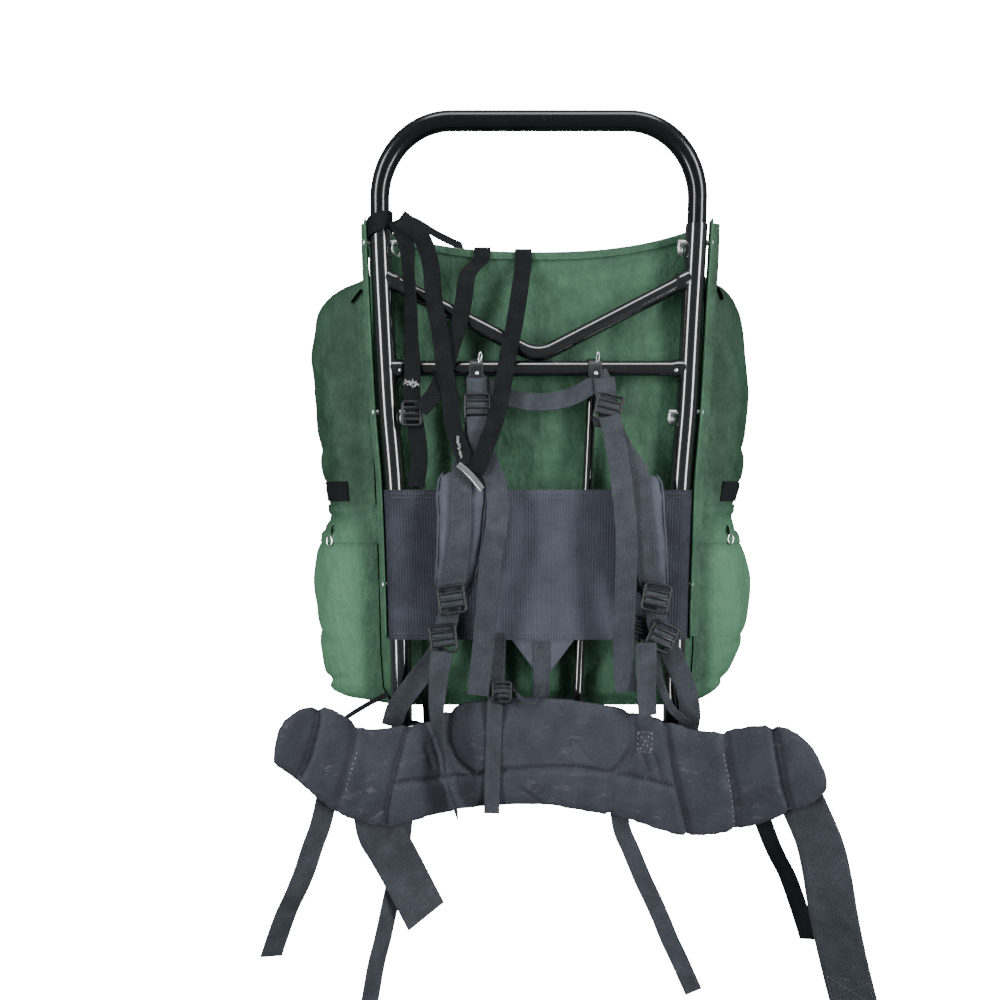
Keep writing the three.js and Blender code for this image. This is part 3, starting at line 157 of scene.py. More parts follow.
# %% The line of the frame
HALF = 186.0
HEIGHT = 715.0
DEPTH = 40.0
LEAN = 260.0
HOOP_RADIUS = 11.1
TUBE_RADIUS = 12.7
BRACE_RADIUS = 9.5
UPRIGHT_RADIUS = 6.0
GAP = 0.3
WEB = 1.4
REACH = 100.0
BAND_WALL = 1.6
TUBE_DOWN = [0, 0.2, 0.42, 0.58, 0.84, 1]
TUBE_SHARE = [1, 1, 0.963, 0.915, 0.882, 0.875]


def frame_back(z):
    """Depth of the tubes' centres: a quarter sine from the hoop's bar down the lean."""
    return DEPTH * np.sin(np.clip((HOOP_RADIUS - np.asarray(z, float)) / LEAN, 0, 1) * np.pi / 2)


def tube_half(z):
    """Half the space between the side tubes' centres at a height."""
    return HALF * smooth_table(TUBE_DOWN, TUBE_SHARE, -np.asarray(z, float) / HEIGHT)


def harness_depth(z, out):
    """Depth of webbing in front of the band: out is a share of the reach toward the wearer."""
    clear = TUBE_RADIUS + GAP + BAND_WALL + GAP + WEB / 2
    return frame_back(z) - clear - np.asarray(out, float) * REACH


def points_of(rows):
    """Rows of x as a share of the half width, down as a share of the height, and out."""
    table = np.asarray(rows, float)
    z = -table[:, 1] * HEIGHT
    return stacked(table[:, 0] * HALF, harness_depth(z, table[:, 2]), z)


print("half spacing at the top and the feet, mm:", tube_half([0, -HEIGHT]))

# %% [markdown]
# Most pieces are a section carried along a path: tubes, webbing, pads and the belt. One function keeps
# the section square to the path and turns it where a strap twists, which a curve's bevel does less well.

# %% Sweeps
def unit(vectors):
    """Each vector divided by its own length."""
    return vectors / np.maximum(np.linalg.norm(vectors, axis=-1, keepdims=True), 1e-9)


def axes_along(path, across, turn=0.0):
    """Directions along a path, wide and deep: wide is the across direction made square to the path,
    then turned about it, and deep is square to both."""
    along = unit(np.gradient(path, axis=0))
    across = np.broadcast_to(np.asarray(across, float), path.shape)
    wide = unit(across - along * np.sum(across * along, axis=1, keepdims=True))
    deep = np.cross(along, wide)
    angle = np.broadcast_to(np.asarray(turn, float), len(path))[:, None]
    return along, wide * np.cos(angle) + deep * np.sin(angle), deep * np.cos(angle) - wide * np.sin(angle)


def sweep(path, section, across, turn=0.0):
    """Each section point is the path's point, plus its two parts along wide and deep."""
    section = np.asarray(section, float)
    if section.ndim == 2:
        section = np.broadcast_to(section, (len(path),) + section.shape)
    _, wide, deep = axes_along(path, across, turn)
    return path[:, None] + section[..., :1] * wide[:, None] + section[..., 1:] * deep[:, None]


upright = np.linspace((0, 0, 0), (0, 0, 10), 11)
print("deep along an upright path:", axes_along(upright, (1, 0, 0))[2][0])

# %% [markdown]
# A grid of points becomes a closed skin. Its faces come from row and column numbers, and its ends are
# closed with a fan or a strip, so every piece is closed and faces outwards.

# %% Closed skins
def skin(grid, ends="fan", uv=None):
    """Faces of rows of closed rings. The ends are a fan to the ring's middle, or a strip that joins
    its two halves; a loop joins the last ring to the first."""
    rows, count = grid.shape[:2]
    i, j = np.meshgrid(np.arange(rows if ends == "loop" else rows - 1), np.arange(count), indexing="ij")
    k, n = (j + 1) % count, (i + 1) % rows
    quads = stacked(i * count + j, i * count + k, n * count + k, n * count + j).reshape(-1, 4)
    points = grid.reshape(-1, 3)
    uv = None if uv is None else np.asarray(uv, float).reshape(-1, 2)
    tris = np.zeros((0, 3), int)
    last = (rows - 1) * count
    if ends == "fan":
        around = np.arange(count)
        beside = (around + 1) % count
        middle = np.full(count, len(points))
        tris = np.vstack([stacked(middle, beside, around),
                          stacked(middle + 1, last + around, last + beside)])
        points = np.vstack([points, grid[0].mean(0), grid[-1].mean(0)])
        if uv is not None:
            uv = np.vstack([uv, uv[:count].mean(0), uv[last:last + count].mean(0)])
    if ends == "strip":
        near = np.arange(count // 2 - 1)
        far = count - 1 - near
        first = stacked(near + 1, near, far, far - 1)
        quads = np.vstack([quads, first, last + first[:, ::-1]])
    return {"points": points, "quads": quads, "tris": tris, "uv": uv}


def sheet_skin(front, back, uv=None):
    """A thin closed sheet between two grids of points, its front and its back."""
    grid = np.concatenate([front, back[:, ::-1]], axis=1)
    both = None if uv is None else np.concatenate([uv, uv[:, ::-1]], axis=1)
    return skin(grid, "strip", both)


def joined(*skins):
    """Several closed skins as one, each keeping its own shell."""
    start = np.cumsum([0] + [len(s["points"]) for s in skins])[:-1]
    flat = [s["uv"] if s["uv"] is not None else s["points"][:, [0, 2]] * MM for s in skins]
    return {
        "points": np.vstack([s["points"] for s in skins]),
        "quads": np.vstack([s["quads"] + a for s, a in zip(skins, start)]),
        "tris": np.vstack([s["tris"] + a for s, a in zip(skins, start)]),
        "uv": np.vstack(flat),
    }


def turned_out(shape):
    """The same skin with every face turned over if its volume comes out negative."""
    p, q, t = shape["points"], shape["quads"], shape["tris"]
    p = p - p.mean(0)
    halves = np.vstack([q[:, [0, 1, 2]], q[:, [0, 2, 3]], t]).astype(int)
    volume = np.sum(p[halves[:, 0]] * np.cross(p[halves[:, 1]], p[halves[:, 2]])) / 6
    if volume < 0:
        shape = {**shape, "quads": q[:, ::-1], "tris": t[:, ::-1]}
    return {**shape, "volume": abs(volume)}


print("fan faces on two rings of four:", len(skin(np.zeros((2, 4, 3)))["tris"]))

# %% [markdown]
# The skins become meshes in one call each. Rods get their own helper, because pins, rings, piping,
# threads and wires are all round bars along some path.

# %% Meshes and rods
def make_mesh(name, shape, sharp=40.0):
    """One Blender mesh in metres, smooth except at edges sharper than an angle, with its own UVs."""
    shape = turned_out(shape)
    mesh = bpy.data.meshes.new(name)
    faces = shape["quads"].tolist() + shape["tris"].tolist()
    mesh.from_pydata((shape["points"] * MM).tolist(), [], faces)
    mesh.polygons.foreach_set("use_smooth", np.ones(len(mesh.polygons), bool))
    if shape["uv"] is not None:
        corner = np.zeros(len(mesh.loops), np.int32)
        mesh.loops.foreach_get("vertex_index", corner)
        layer = mesh.uv_layers.new(name="cloth")
        layer.data.foreach_set("uv", shape["uv"][corner].ravel())
    mesh.set_sharp_from_angle(angle=np.radians(sharp))
    mesh.update()
    piece = bpy.data.objects.new(name, mesh)
    bpy.context.scene.collection.objects.link(piece)
    return piece


def circle(count, radius=1.0):
    """Points of a circle, counted round from the wide side."""
    angle = 2 * np.pi * np.arange(count) / count
    return radius * stacked(np.cos(angle), np.sin(angle))


def rod_skin(path, radius, across=(0, -1, 0), count=24, round_end=0.0):
    """A round bar along a path. A rounded end shrinks the radius over its last millimetres."""
    radius = np.broadcast_to(np.asarray(radius, float), len(path)).copy()
    length = lengths(path)
    if round_end:
        near = np.minimum(length, length[-1] - length) / round_end
        radius *= np.sqrt(np.clip(1 - (1 - np.clip(near, 0.04, 1)) ** 2, 0.05, 1))
    section = circle(count)[None] * radius[:, None, None]
    around = np.linspace(0, 1, count)[None]
    uv = stacked(length[:, None] * MM, around * MM)
    return skin(sweep(path, section, across), "fan", uv)


print("a rod of radius 1 and length 10 holds:", round(turned_out(rod_skin(upright, 1.0))["volume"], 2))

# %% [markdown]
# Finishes are written as sums. A small class wraps one output of a shader node, so that noise, lines
# and colours can be added and multiplied with plain operators, and a second class holds the material.

# %% Shader arithmetic
class Value:
    """One output of a shader node that can be used in sums."""

    def __init__(self, finish, socket):
        self.finish = finish
        self.socket = socket

    def math(self, operation, *others, clamp=False):
        sockets = dict(enumerate((self,) + others))
        return self.finish.node("ShaderNodeMath", {"operation": operation, "use_clamp": clamp}, sockets)

    def __add__(self, other):
        return self.math("ADD", other)

    def __mul__(self, other):
        return self.math("MULTIPLY", other)

    def __sub__(self, other):
        return self.math("SUBTRACT", other)

    def __rsub__(self, other):
        return self * -1.0 + other

    __radd__ = __add__
    __rmul__ = __mul__

    def ramp(self, low, high):
        """From 0 at low to 1 at high, smooth between."""
        sockets = {"Value": self, "From Min": low, "From Max": high}
        return self.finish.node("ShaderNodeMapRange", {"interpolation_type": "SMOOTHSTEP"}, sockets)

    def wave(self, period, phase=0.0):
        """A sine of this length, from 0 to 1."""
        return ((self * (2 * np.pi / period) + phase).math("SINE") + 1.0) * 0.5


class Finish:
    """A material with one principled shader, and one method that makes every other node."""

    def __init__(self, name, **constants):
        self.material = bpy.data.materials.new(name)
        self.material.use_nodes = True
        self.tree = self.material.node_tree
        self.tree.nodes.clear()
        out = self.tree.nodes.new("ShaderNodeOutputMaterial")
        self.shader = self.tree.nodes.new("ShaderNodeBsdfPrincipled")
        self.tree.links.new(self.shader.outputs[0], out.inputs[0])
        for key, value in constants.items():
            self.shader.inputs[key.replace("_", " ")].default_value = value

    def node(self, kind, settings=None, sockets=None, output=0):
        """Makes a node: its settings first, then its sockets, each a number or another value."""
        made = self.tree.nodes.new(kind)
        for key, value in (settings or {}).items():
            setattr(made, key, value)
        for key, value in (sockets or {}).items():
            if isinstance(value, Value):
                self.tree.links.new(value.socket, made.inputs[key])
            else:
                made.inputs[key].default_value = value
        return Value(self, made.outputs[output])

    def place(self):
        return self.node("ShaderNodeTexCoord", output="Object")

    def cloth_place(self):
        return self.node("ShaderNodeUVMap", {"uv_map": "cloth"})

    def parts(self, vector):
        split = self.tree.nodes.new("ShaderNodeSeparateXYZ")
        self.tree.links.new(vector.socket, split.inputs[0])
        return [Value(self, split.outputs[k]) for k in range(3)]

    def noise(self, vector, size, detail=2.0, rough=0.5):
        """Cloudy noise whose lumps are about this many metres across."""
        sockets = {"Vector": vector, "Scale": 1.0 / size, "Detail": detail, "Roughness": rough}
        return self.node("ShaderNodeTexNoise", {}, sockets)

    def stretched(self, vector, scale):
        return self.node("ShaderNodeVectorMath", {"operation": "MULTIPLY"}, {0: vector, 1: scale})

    def blend(self, factor, first, second):
        """A colour between two others."""
        colours = {key: value if isinstance(value, Value) else (*value, 1.0)
                   for key, value in ((6, first), (7, second))}
        return self.node("ShaderNodeMix", {"data_type": "RGBA"}, {0: factor, **colours}, output=2)

    def bump(self, height, distance, strength):
        sockets = {"Height": height, "Distance": distance, "Strength": strength}
        return self.node("ShaderNodeBump", {}, sockets)

    def set(self, **varying):
        """Links what changes over the surface, and gives the material."""
        for key, value in varying.items():
            self.tree.links.new(value.socket, self.shader.inputs[key.replace("_", " ")])
        return self.material


# %% [markdown]
# The tubes are aluminium under gloss black paint, which shows the two long lights beside the camera as
# two bright lines. The steel of the pins is bare and a little brushed. The plastic is moulded nylon,
# dark grey and faintly grained.

# %% Hard finishes
def black_paint(name, coat):
    """Near black under a clear coat, with wear and long grey scuffs."""
    f = Finish(name, Roughness=0.25, Coat_Weight=coat, Coat_Roughness=0.1, Coat_IOR=1.8)
    at = f.place()
    wear = f.noise(at, 0.012, 4.0, 0.6)
    scuff = f.noise(f.stretched(at, (1.0, 1.0, 0.12)), 0.004, 3.0, 0.7).ramp(0.62, 0.74)
    colour = f.blend(scuff * 0.35, (0.003, 0.0035, 0.005), (0.05, 0.05, 0.055))
    normal = f.bump(wear, 0.0002, 0.3)
    return f.set(Base_Color=colour, Roughness=wear * 0.12 + 0.16, Normal=normal)


def steel():
    """Bright metal whose grain changes its colour and roughness."""
    f = Finish("bright_steel", Metallic=1.0)
    grain = f.noise(f.stretched(f.place(), (1.0, 1.0, 6.0)), 0.002, 3.0)
    colour = f.blend(grain, (0.50, 0.51, 0.53), (0.80, 0.80, 0.80))
    return f.set(Base_Color=colour, Roughness=grain * 0.2 + 0.2)


def plastic():
    """Dark grey, with a fine grain as relief and soft patches of dust."""
    f = Finish("moulded_dark_plastic")
    at = f.place()
    grain = f.noise(at, 0.0008, 2.0)
    dust = f.noise(at, 0.006, 4.0, 0.6).ramp(0.45, 0.8)
    colour = f.blend(dust * 0.5, (0.010, 0.011, 0.014), (0.036, 0.039, 0.048))
    return f.set(Base_Color=colour, Roughness=dust * 0.15 + 0.36, Normal=f.bump(grain, 0.0001, 0.3))


FINISHES = {"frame_paint": black_paint("gloss_black_paint", 1.0),
            "hoop_paint": black_paint("satin_black_paint", 0.12),
            "pin_steel": steel(),
            "buckle_plastic": plastic()}
print("hard finishes:", sorted(FINISHES))

# %% [markdown]
# Webbing is woven flat: fine ribs run across it, a little apart, and a few lines run along it. The
# pattern follows the piece's own UVs, metres along and metres across, so it turns with every twist.
# The band is a broader weave with ribs that run down it.

# %% Woven finishes
def webbing(name, dark, light, gloss=0.2):
    """Ribs across and cords along, both as low relief, with a soft mottling of the dye."""
    f = Finish(name, Roughness=0.7, Specular_IOR_Level=gloss)
    along, across, _ = f.parts(f.cloth_place())
    twill = (along + across * 0.6).wave(0.0021)
    cords = across.wave(0.0031)
    relief = twill * 0.7 + cords * 0.3
    mottle = f.noise(f.place(), 0.02, 4.0, 0.6)
    fuzz = f.noise(f.place(), 0.0012, 2.0)
    tone = (relief * 0.45 + mottle * 0.75 + fuzz * 0.35 - 0.35).ramp(0.0, 1.0)
    return f.set(Base_Color=f.blend(tone, dark, light), Normal=f.bump(relief + fuzz * 0.4, 0.0006, 0.55))


def band_weave():
    """Vertical ribs crossed by fine picks, with painted light: the middle is made greyer and lighter than the
    sides.
    """
    f = Finish("ribbed_band", Roughness=0.75, Specular_IOR_Level=0.2)
    along, across, _ = f.parts(f.cloth_place())
    ribs = across.wave(0.0034)
    picks = along.wave(0.0024)
    relief = ribs * (picks * 0.5 + 0.5)
    mottle = f.noise(f.place(), 0.03, 4.0, 0.6)
    fuzz = f.noise(f.place(), 0.0012, 2.0)
    x, _, _ = f.parts(f.place())
    # painted light: the band's middle is made lighter than its sides, as if lit more strongly there
    middle = (x - 0.02).math("ABSOLUTE").ramp(0.15, 0.04)
    tone = (relief * 0.25 + mottle * 0.6 + fuzz * 0.3 + middle * 0.3 - 0.2).ramp(0.0, 1.0)
    colour = f.blend(tone, (0.017, 0.019, 0.027), (0.076, 0.084, 0.110))
    return f.set(Base_Color=colour, Normal=f.bump(relief + fuzz * 0.3, 0.0007, 0.6))


FINISHES["grey_webbing"] = webbing("grey_webbing", (0.022, 0.026, 0.032), (0.074, 0.083, 0.100))
FINISHES["black_webbing"] = webbing("black_webbing", (0.003, 0.0036, 0.0042), (0.017, 0.020, 0.023), 0.1)
FINISHES["band_cloth"] = band_weave()
print("woven finishes:", [name for name in FINISHES if "web" in name or "band" in name])

# %% [markdown]
# The bag is coated nylon, dark green where it is stretched and lighter where it is rubbed, with fine
# crumples from being folded away. The pads and the belt wear charcoal cloth; the belt is dusty, with
# pale specks that cling to the weave.

# %% Cloth finishes
def bag_cloth():
    """Clouds, rubbed places, and side pockets made darker in their upper part and lighter in their lower,
    with crumples as relief.
    """
    f = Finish("green_pack_cloth", Roughness=0.6, Specular_IOR_Level=0.3)
    at = f.place()
    x, _, z = f.parts(at)
    lower = z.ramp(-0.40, -0.52)
    side = x.math("ABSOLUTE").ramp(0.205, 0.225)
    cloud = f.noise(at, 0.06, 5.0, 0.6)
    rubbed = f.noise(at, 0.018, 5.0, 0.62)
    crumple = f.noise(f.stretched(at, (1.0, 1.0, 0.55)), 0.022, 6.0, 0.62)
    weave = f.noise(at, 0.0011, 2.0)
    tone = (cloud * 0.5 + rubbed * 0.35 + side * (lower * 0.75 - 0.22) + 0.02).ramp(0.0, 1.0)
    colour = f.blend(tone, (0.009, 0.034, 0.018), (0.078, 0.200, 0.112))
    return f.set(Base_Color=colour, Roughness=0.72 - rubbed * 0.25,
                 Normal=f.bump(crumple + weave * 0.04, 0.014, 0.5))


def padded_cloth(name, dark, light, dust=0.0):
    """Clouded cloth, with specks and smears of dust laid over it in patches."""
    f = Finish(name, Roughness=0.8, Specular_IOR_Level=0.2)
    at = f.place()
    weave = f.noise(at, 0.0012, 2.0)
    cloud = f.noise(at, 0.03, 5.0, 0.6)
    crumple = f.noise(at, 0.014, 5.0, 0.6)
    tone = (cloud * 0.8 + weave * 0.5 - 0.15).ramp(0.0, 1.0)
    colour = f.blend(tone, dark, light)
    if dust:
        specks = f.noise(at, 0.0026, 3.0, 0.65).ramp(0.66, 0.78)
        patches = f.noise(at, 0.05, 4.0, 0.6).ramp(0.42, 0.7)
        smears = f.noise(f.stretched(at, (1.0, 1.0, 2.2)), 0.016, 5.0, 0.7).ramp(0.52, 0.78)
        dusty = (specks * 0.9 + smears * 0.35) * patches * dust
        colour = f.blend(dusty, colour, (0.32, 0.32, 0.34))
    return f.set(Base_Color=colour, Normal=f.bump(crumple * 0.8 + weave * 0.25, 0.004, 0.35))


FINISHES["bag_cloth"] = bag_cloth()
FINISHES["pad_cloth"] = padded_cloth("pad_cloth", (0.036, 0.040, 0.052), (0.105, 0.114, 0.146))
FINISHES["belt_cloth"] = padded_cloth("belt_cloth", (0.021, 0.023, 0.031), (0.060, 0.065, 0.083), 0.8)
print("finishes so far:", len(FINISHES))

# %% [markdown]
# Thread is thin enough to need one colour only. The last helper dresses a piece: it gives it a finish,
# ties it to the frame's body, and hides the CAD nodes that it stands for.

# %% Threads and dressing
def plain_thread(name, colour):
    """One colour, from six tenths of it in the hollows of the fuzz to all of it."""
    f = Finish(name, Roughness=0.7, Specular_IOR_Level=0.2)
    fuzz = f.noise(f.place(), 0.0009, 2.0)
    dim = tuple(0.6 * c for c in colour)
    return f.set(Base_Color=f.blend(fuzz, dim, colour))


FINISHES["pale_thread"] = plain_thread("pale_thread", (0.55, 0.55, 0.55))
FINISHES["grey_thread"] = plain_thread("grey_thread", (0.12, 0.125, 0.14))


def dress(piece, slot, *nodes, finish=None):
    """Gives a piece its finish and its place on the frame's one body, and hides the CAD nodes it stands for.
    """
    piece.data.materials.append(FINISHES[finish or slot])
    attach(piece, "root")
    if nodes:
        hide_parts(*nodes)
    return piece


print("all finishes:", sorted(FINISHES))

# %% [markdown]
# The frame is made of round aluminium tube. A hoop telescopes into the side tubes, whose rolled lips
# show where it enters. A side tube is one loop of rings, outside, lip and inside, so its wall is real.

# %% Side tubes and hoop
TUBE_TOP = 98.0
TUBE_WALL = 1.3
HOOP_BEND = 85.0
HOOP_INSERT = 60.0


def tube_skin(path, radius, wall, lip=1.0, count=36):
    """An open tube: a ring of outside, rolled lip, inside and lip again, carried round as one loop."""
    start, end = path[0], path[-1]
    along = unit(np.gradient(path, axis=0))
    outer = np.vstack([start + along[0] * lip * 0.3, path[1:-1], end - along[-1] * lip * 0.3])
    rows = [sweep(outer, circle(count, radius), (0, -1, 0))]
    rows.append(sweep(path[-2:], circle(count, radius - wall / 2), (0, -1, 0))[-1:])
    rows.append(sweep(outer, circle(count, radius - wall), (0, -1, 0))[::-1])
    rows.append(sweep(path[:2], circle(count, radius - wall / 2), (0, -1, 0))[:1])
    return skin(np.concatenate(rows), "loop")


def build_tubes():
    """Side tubes on the frame's line; the hoop is two legs, two quarter circles and a bar."""
    z = -np.linspace(TUBE_TOP, HEIGHT, 90)
    for name, sign in (("left", -1), ("right", 1)):
        path = stacked(sign * tube_half(z), frame_back(z), z)
        tube = make_mesh(f"tube_{name}", tube_skin(path, TUBE_RADIUS, TUBE_WALL))
        dress(tube, "frame_paint", f"side_tube_{name}")
    angle = np.linspace(0, np.pi / 2, 24)
    arc_x = HALF - HOOP_BEND + HOOP_BEND * np.cos(angle)
    arc_z = HOOP_RADIUS - HOOP_BEND + HOOP_BEND * np.sin(angle)
    leg = -np.linspace(TUBE_TOP + HOOP_INSERT, HOOP_BEND, 12)[:-1]
    x = np.concatenate([tube_half(leg), arc_x])
    z = np.concatenate([leg, arc_z])
    half = stacked(x, frame_back(z), z)
    mirror = half[::-1] * (-1, 1, 1)
    bar = np.linspace(half[-1], mirror[0], 30)[1:-1]
    hoop = make_mesh("hoop_tube", rod_skin(np.vstack([half, bar, mirror]), HOOP_RADIUS, count=36))
    dress(hoop, "frame_paint", "frame_hoop", finish="hoop_paint")


build_tubes()
print("hoop's outer width, mm:", 2 * (HALF + HOOP_RADIUS))

# %% [markdown]
# Two crossbars and a V brace are welded between the side tubes, and two thin uprights between the
# crossbars. Each bar swells a little at its weld, which is simpler than a modelled bead.

# %% Crossbars, brace and uprights
UPPER_BAR = 265.7
LOWER_BAR = 699.0
VEE_RISE = 90.0
VEE_BEND = 38.0
VERTEX = -UPPER_BAR + 2 * BRACE_RADIUS + GAP
UPRIGHT_SPREAD = {UPPER_BAR: 66.0, LOWER_BAR: 46.0}
UPRIGHT_ROWS = 60
UPRIGHT_STEP = 7.3
WELD_ZONE = 24
SINK = 0.3  # share of the tube's radius that a bar's end goes into it


def welded_bar(path, radius, weld=1.8, reach=4.0):
    """A bar whose radius grows by the weld over its last few millimetres before each side tube."""
    length = lengths(path)
    near = np.minimum(length, length[-1] - length) - TUBE_RADIUS
    return rod_skin(path, radius + weld * np.exp(-(np.maximum(near, 0) / reach) ** 2), count=28)


def inside_tube(z):
    """How far out a bar ends, so that its end lies inside the side tube's wall."""
    return tube_half(z) - TUBE_RADIUS * SINK


def build_bars():
    """Two straight bars, a V whose arms meet in an arc, and two uprights."""
    for name, drop in (("upper_crossbar", UPPER_BAR), ("lower_crossbar", LOWER_BAR)):
        end = inside_tube(-drop)
        weld = np.linspace(end - WELD_ZONE, end, 13)
        inner = end - WELD_ZONE - 2
        x = np.concatenate([-weld[::-1], np.linspace(-inner, inner, 9), weld])
        path = stacked(x, np.full_like(x, frame_back(-drop)), np.full_like(x, -drop))
        dress(make_mesh(f"bar_{name}", welded_bar(path, BRACE_RADIUS)), "frame_paint", name)
    top = VERTEX + VEE_RISE
    run = inside_tube(top)
    slope = np.arctan2(VEE_RISE, tube_half(top))
    angle = np.linspace(-slope, slope, 15)
    arc = stacked(VEE_BEND * np.sin(angle), VERTEX + VEE_BEND * (1 - np.cos(angle)))
    tip = np.array([run, top - (tube_half(top) - run) * np.tan(slope)])
    arm = np.linspace(tip, arc[-1], 60)[:-1]
    profile = np.vstack([arm * (-1, 1), arc, arm[::-1]])
    path = stacked(profile[:, 0], frame_back(profile[:, 1]), profile[:, 1])
    dress(make_mesh("bar_vee", welded_bar(path, BRACE_RADIUS)), "frame_paint", "vee_brace")
    for name, sign in (("left", -1), ("right", 1)):
        ends = [[sign * spread, float(frame_back(-drop)), -drop] for drop, spread in UPRIGHT_SPREAD.items()]
        path = np.linspace(ends[0], ends[1], UPRIGHT_ROWS)
        row = np.arange(UPRIGHT_ROWS)
        near = np.minimum(row, row[::-1]) * UPRIGHT_STEP - BRACE_RADIUS
        radius = UPRIGHT_RADIUS + 1.4 * np.exp(-(np.maximum(near, 0) / 4.0) ** 2)
        upright = make_mesh(f"bar_upright_{name}", rod_skin(path, radius, count=20))
        dress(upright, "frame_paint", f"inner_upright_{name}")


build_bars()
print("bars' radii, mm:", BRACE_RADIUS, UPRIGHT_RADIUS)

# %% [markdown]
# Clevis pins cross the side tubes and hold the bag's cloth edges to them. Each has a domed head outside
# the cloth, and a split ring of spring wire through its tail, two turns that lie side by side.

# %% Clevis pins and split rings
PIN_DROPS = {"upper": 119.0, "middle": 318.0, "lower": 524.0}
PIN_RADIUS = 3.2
PIN_HEAD = 5.0
PIN_TAIL = TUBE_RADIUS + 9
PIN_GRIP = TUBE_RADIUS + BAND_WALL + 5 * GAP + 1.6 + 2 * GAP
RING_RADIUS = 8.5
RING_TURN = 0.5


def lathe_x(profile, centre, sign, count=24):
    """A turned shape about the X direction: rows of distance along X and radius."""
    profile = np.asarray(profile, float)
    path = centre + stacked(sign * profile[:, 0], 0 * profile[:, 0], 0 * profile[:, 0])
    ring = circle(count)
    flat = np.column_stack([np.zeros(count), ring])
    grid = path[:, None] + profile[:, 1, None, None] * flat[None]
    return skin(grid, "fan")


def split_ring(centre, radius, wire, turn, turns=1.9):
    """A wire helix of nearly two turns, its pitch one wire's width, in an upright plane."""
    angle = np.linspace(0, 2 * np.pi * turns, 96)
    side = (angle / (2 * np.pi) - turns / 2) * 2 * wire * 0.8
    flat = radius * np.sin(angle)
    facing = np.array([np.cos(turn), -np.sin(turn), 0])
    path = centre + stacked(flat * np.sin(turn), flat * np.cos(turn), radius * np.cos(angle))
    return rod_skin(path + side[:, None] * facing, wire * 0.8, facing, count=10, round_end=0.8)


def build_pins():
    """Each pin's profile is turned about X, and its ring hangs from the tail."""
    head = PIN_GRIP + 2.0
    profile = [(-PIN_TAIL, 0.4), (-PIN_TAIL, 2.2), (-PIN_TAIL + 0.8, PIN_RADIUS), (PIN_GRIP, PIN_RADIUS),
               (PIN_GRIP, PIN_HEAD - 0.3), (PIN_GRIP + 0.4, PIN_HEAD), (head - 0.7, PIN_HEAD - 0.3),
               (head - 0.2, PIN_HEAD - 1.6), (head, 0.6)]
    for name, sign in (("left", -1), ("right", 1)):
        for level, drop in PIN_DROPS.items():
            centre = np.array([sign * tube_half(-drop), frame_back(-drop), -drop])
            pin = lathe_x(profile, centre, sign)
            tail = centre + (sign * (-PIN_TAIL + PIN_RADIUS), 0, 1.0 - RING_RADIUS)
            ring = split_ring(tail, RING_RADIUS, 1.0, RING_TURN)
            piece = make_mesh(f"pin_{level}_{name}", joined(pin, ring))
            dress(piece, "pin_steel", f"clevis_pin_{level}_{name}")


build_pins()
print("pins and rings:", 2 * len(PIN_DROPS))

# %% [markdown]
# Cloth dents and folds are all made the same way: each crease is a line on the flat cloth with a width
# and a depth, deepest along its middle and fading at its ends. A table of creases is one row for each
# fold that shows in the photograph.

# %% Creases
def creased(across, down, table):
    """Depth of all creases at flat places: a bell across each line's width, and a sine along it."""
    depth = np.zeros(np.broadcast(across, down).shape)
    for ax, ay, bx, by, wide, deep in table:
        line = np.array([bx - ax, by - ay])
        length = np.hypot(*line)
        u = ((across - ax) * line[0] + (down - ay) * line[1]) / length ** 2
        v = ((across - ax) * line[1] - (down - ay) * line[0]) / length
        fade = np.sin(np.pi * np.clip((u + 0.15) / 1.3, 0, 1)) ** 0.7
        depth += deep * np.exp(-(v / wide) ** 2) * fade
    return depth


def ripples(across, down, seed, scale, layers=5):
    """Soft waves in several directions, from a fixed seed, between about -1 and 1."""
    chance = np.random.default_rng(seed)
    total = np.zeros(np.broadcast(across, down).shape)
    for k in range(layers):
        heading, phase = chance.uniform(0, 2 * np.pi, 2)
        period = scale * chance.uniform(0.6, 1.6)
        bend = 0.6 * np.sin(down / (2.3 * scale) + phase * 2)
        run = across * np.cos(heading) + down * np.sin(heading)
        total += np.sin(run * 2 * np.pi / period + phase + bend)
    return total / layers


print("ripples at one place:", round(float(ripples(10.0, 20.0, 1, 50)), 3))

# %% [markdown]
# The bag is a tall box of coated cloth with small corners toward the frame and large ones behind. Its
# section is worked out as one ring of points for every height at once. The rim rises at the sides,
# and a floor closes the foot.

# %% Bag body
CLOTH = 2.0
BAG_BACK = DEPTH + TUBE_RADIUS + GAP + BAND_WALL + 2 * GAP
BAG_TOP = 126.0
BAG_HEIGHT = 549.0
BAG_HALF = 203.0
BAG_DEPTH = 215.0
BACK_CORNER = 14.0
FRONT_CORNER = 46.0
BULGE = 14.0
RIM_RISE = 34.0
BAG_DOWN = [0, 0.12, 0.3, 0.5, 0.72, 0.88, 0.96, 0.99, 1]
BAG_WIDE = [1.02, 1.015, 1, 0.98, 0.955, 0.945, 0.93, 0.89, 0.83]
BAG_DEEP = [0.91, 0.94, 0.98, 1, 1, 0.99, 0.95, 0.88, 0.8]


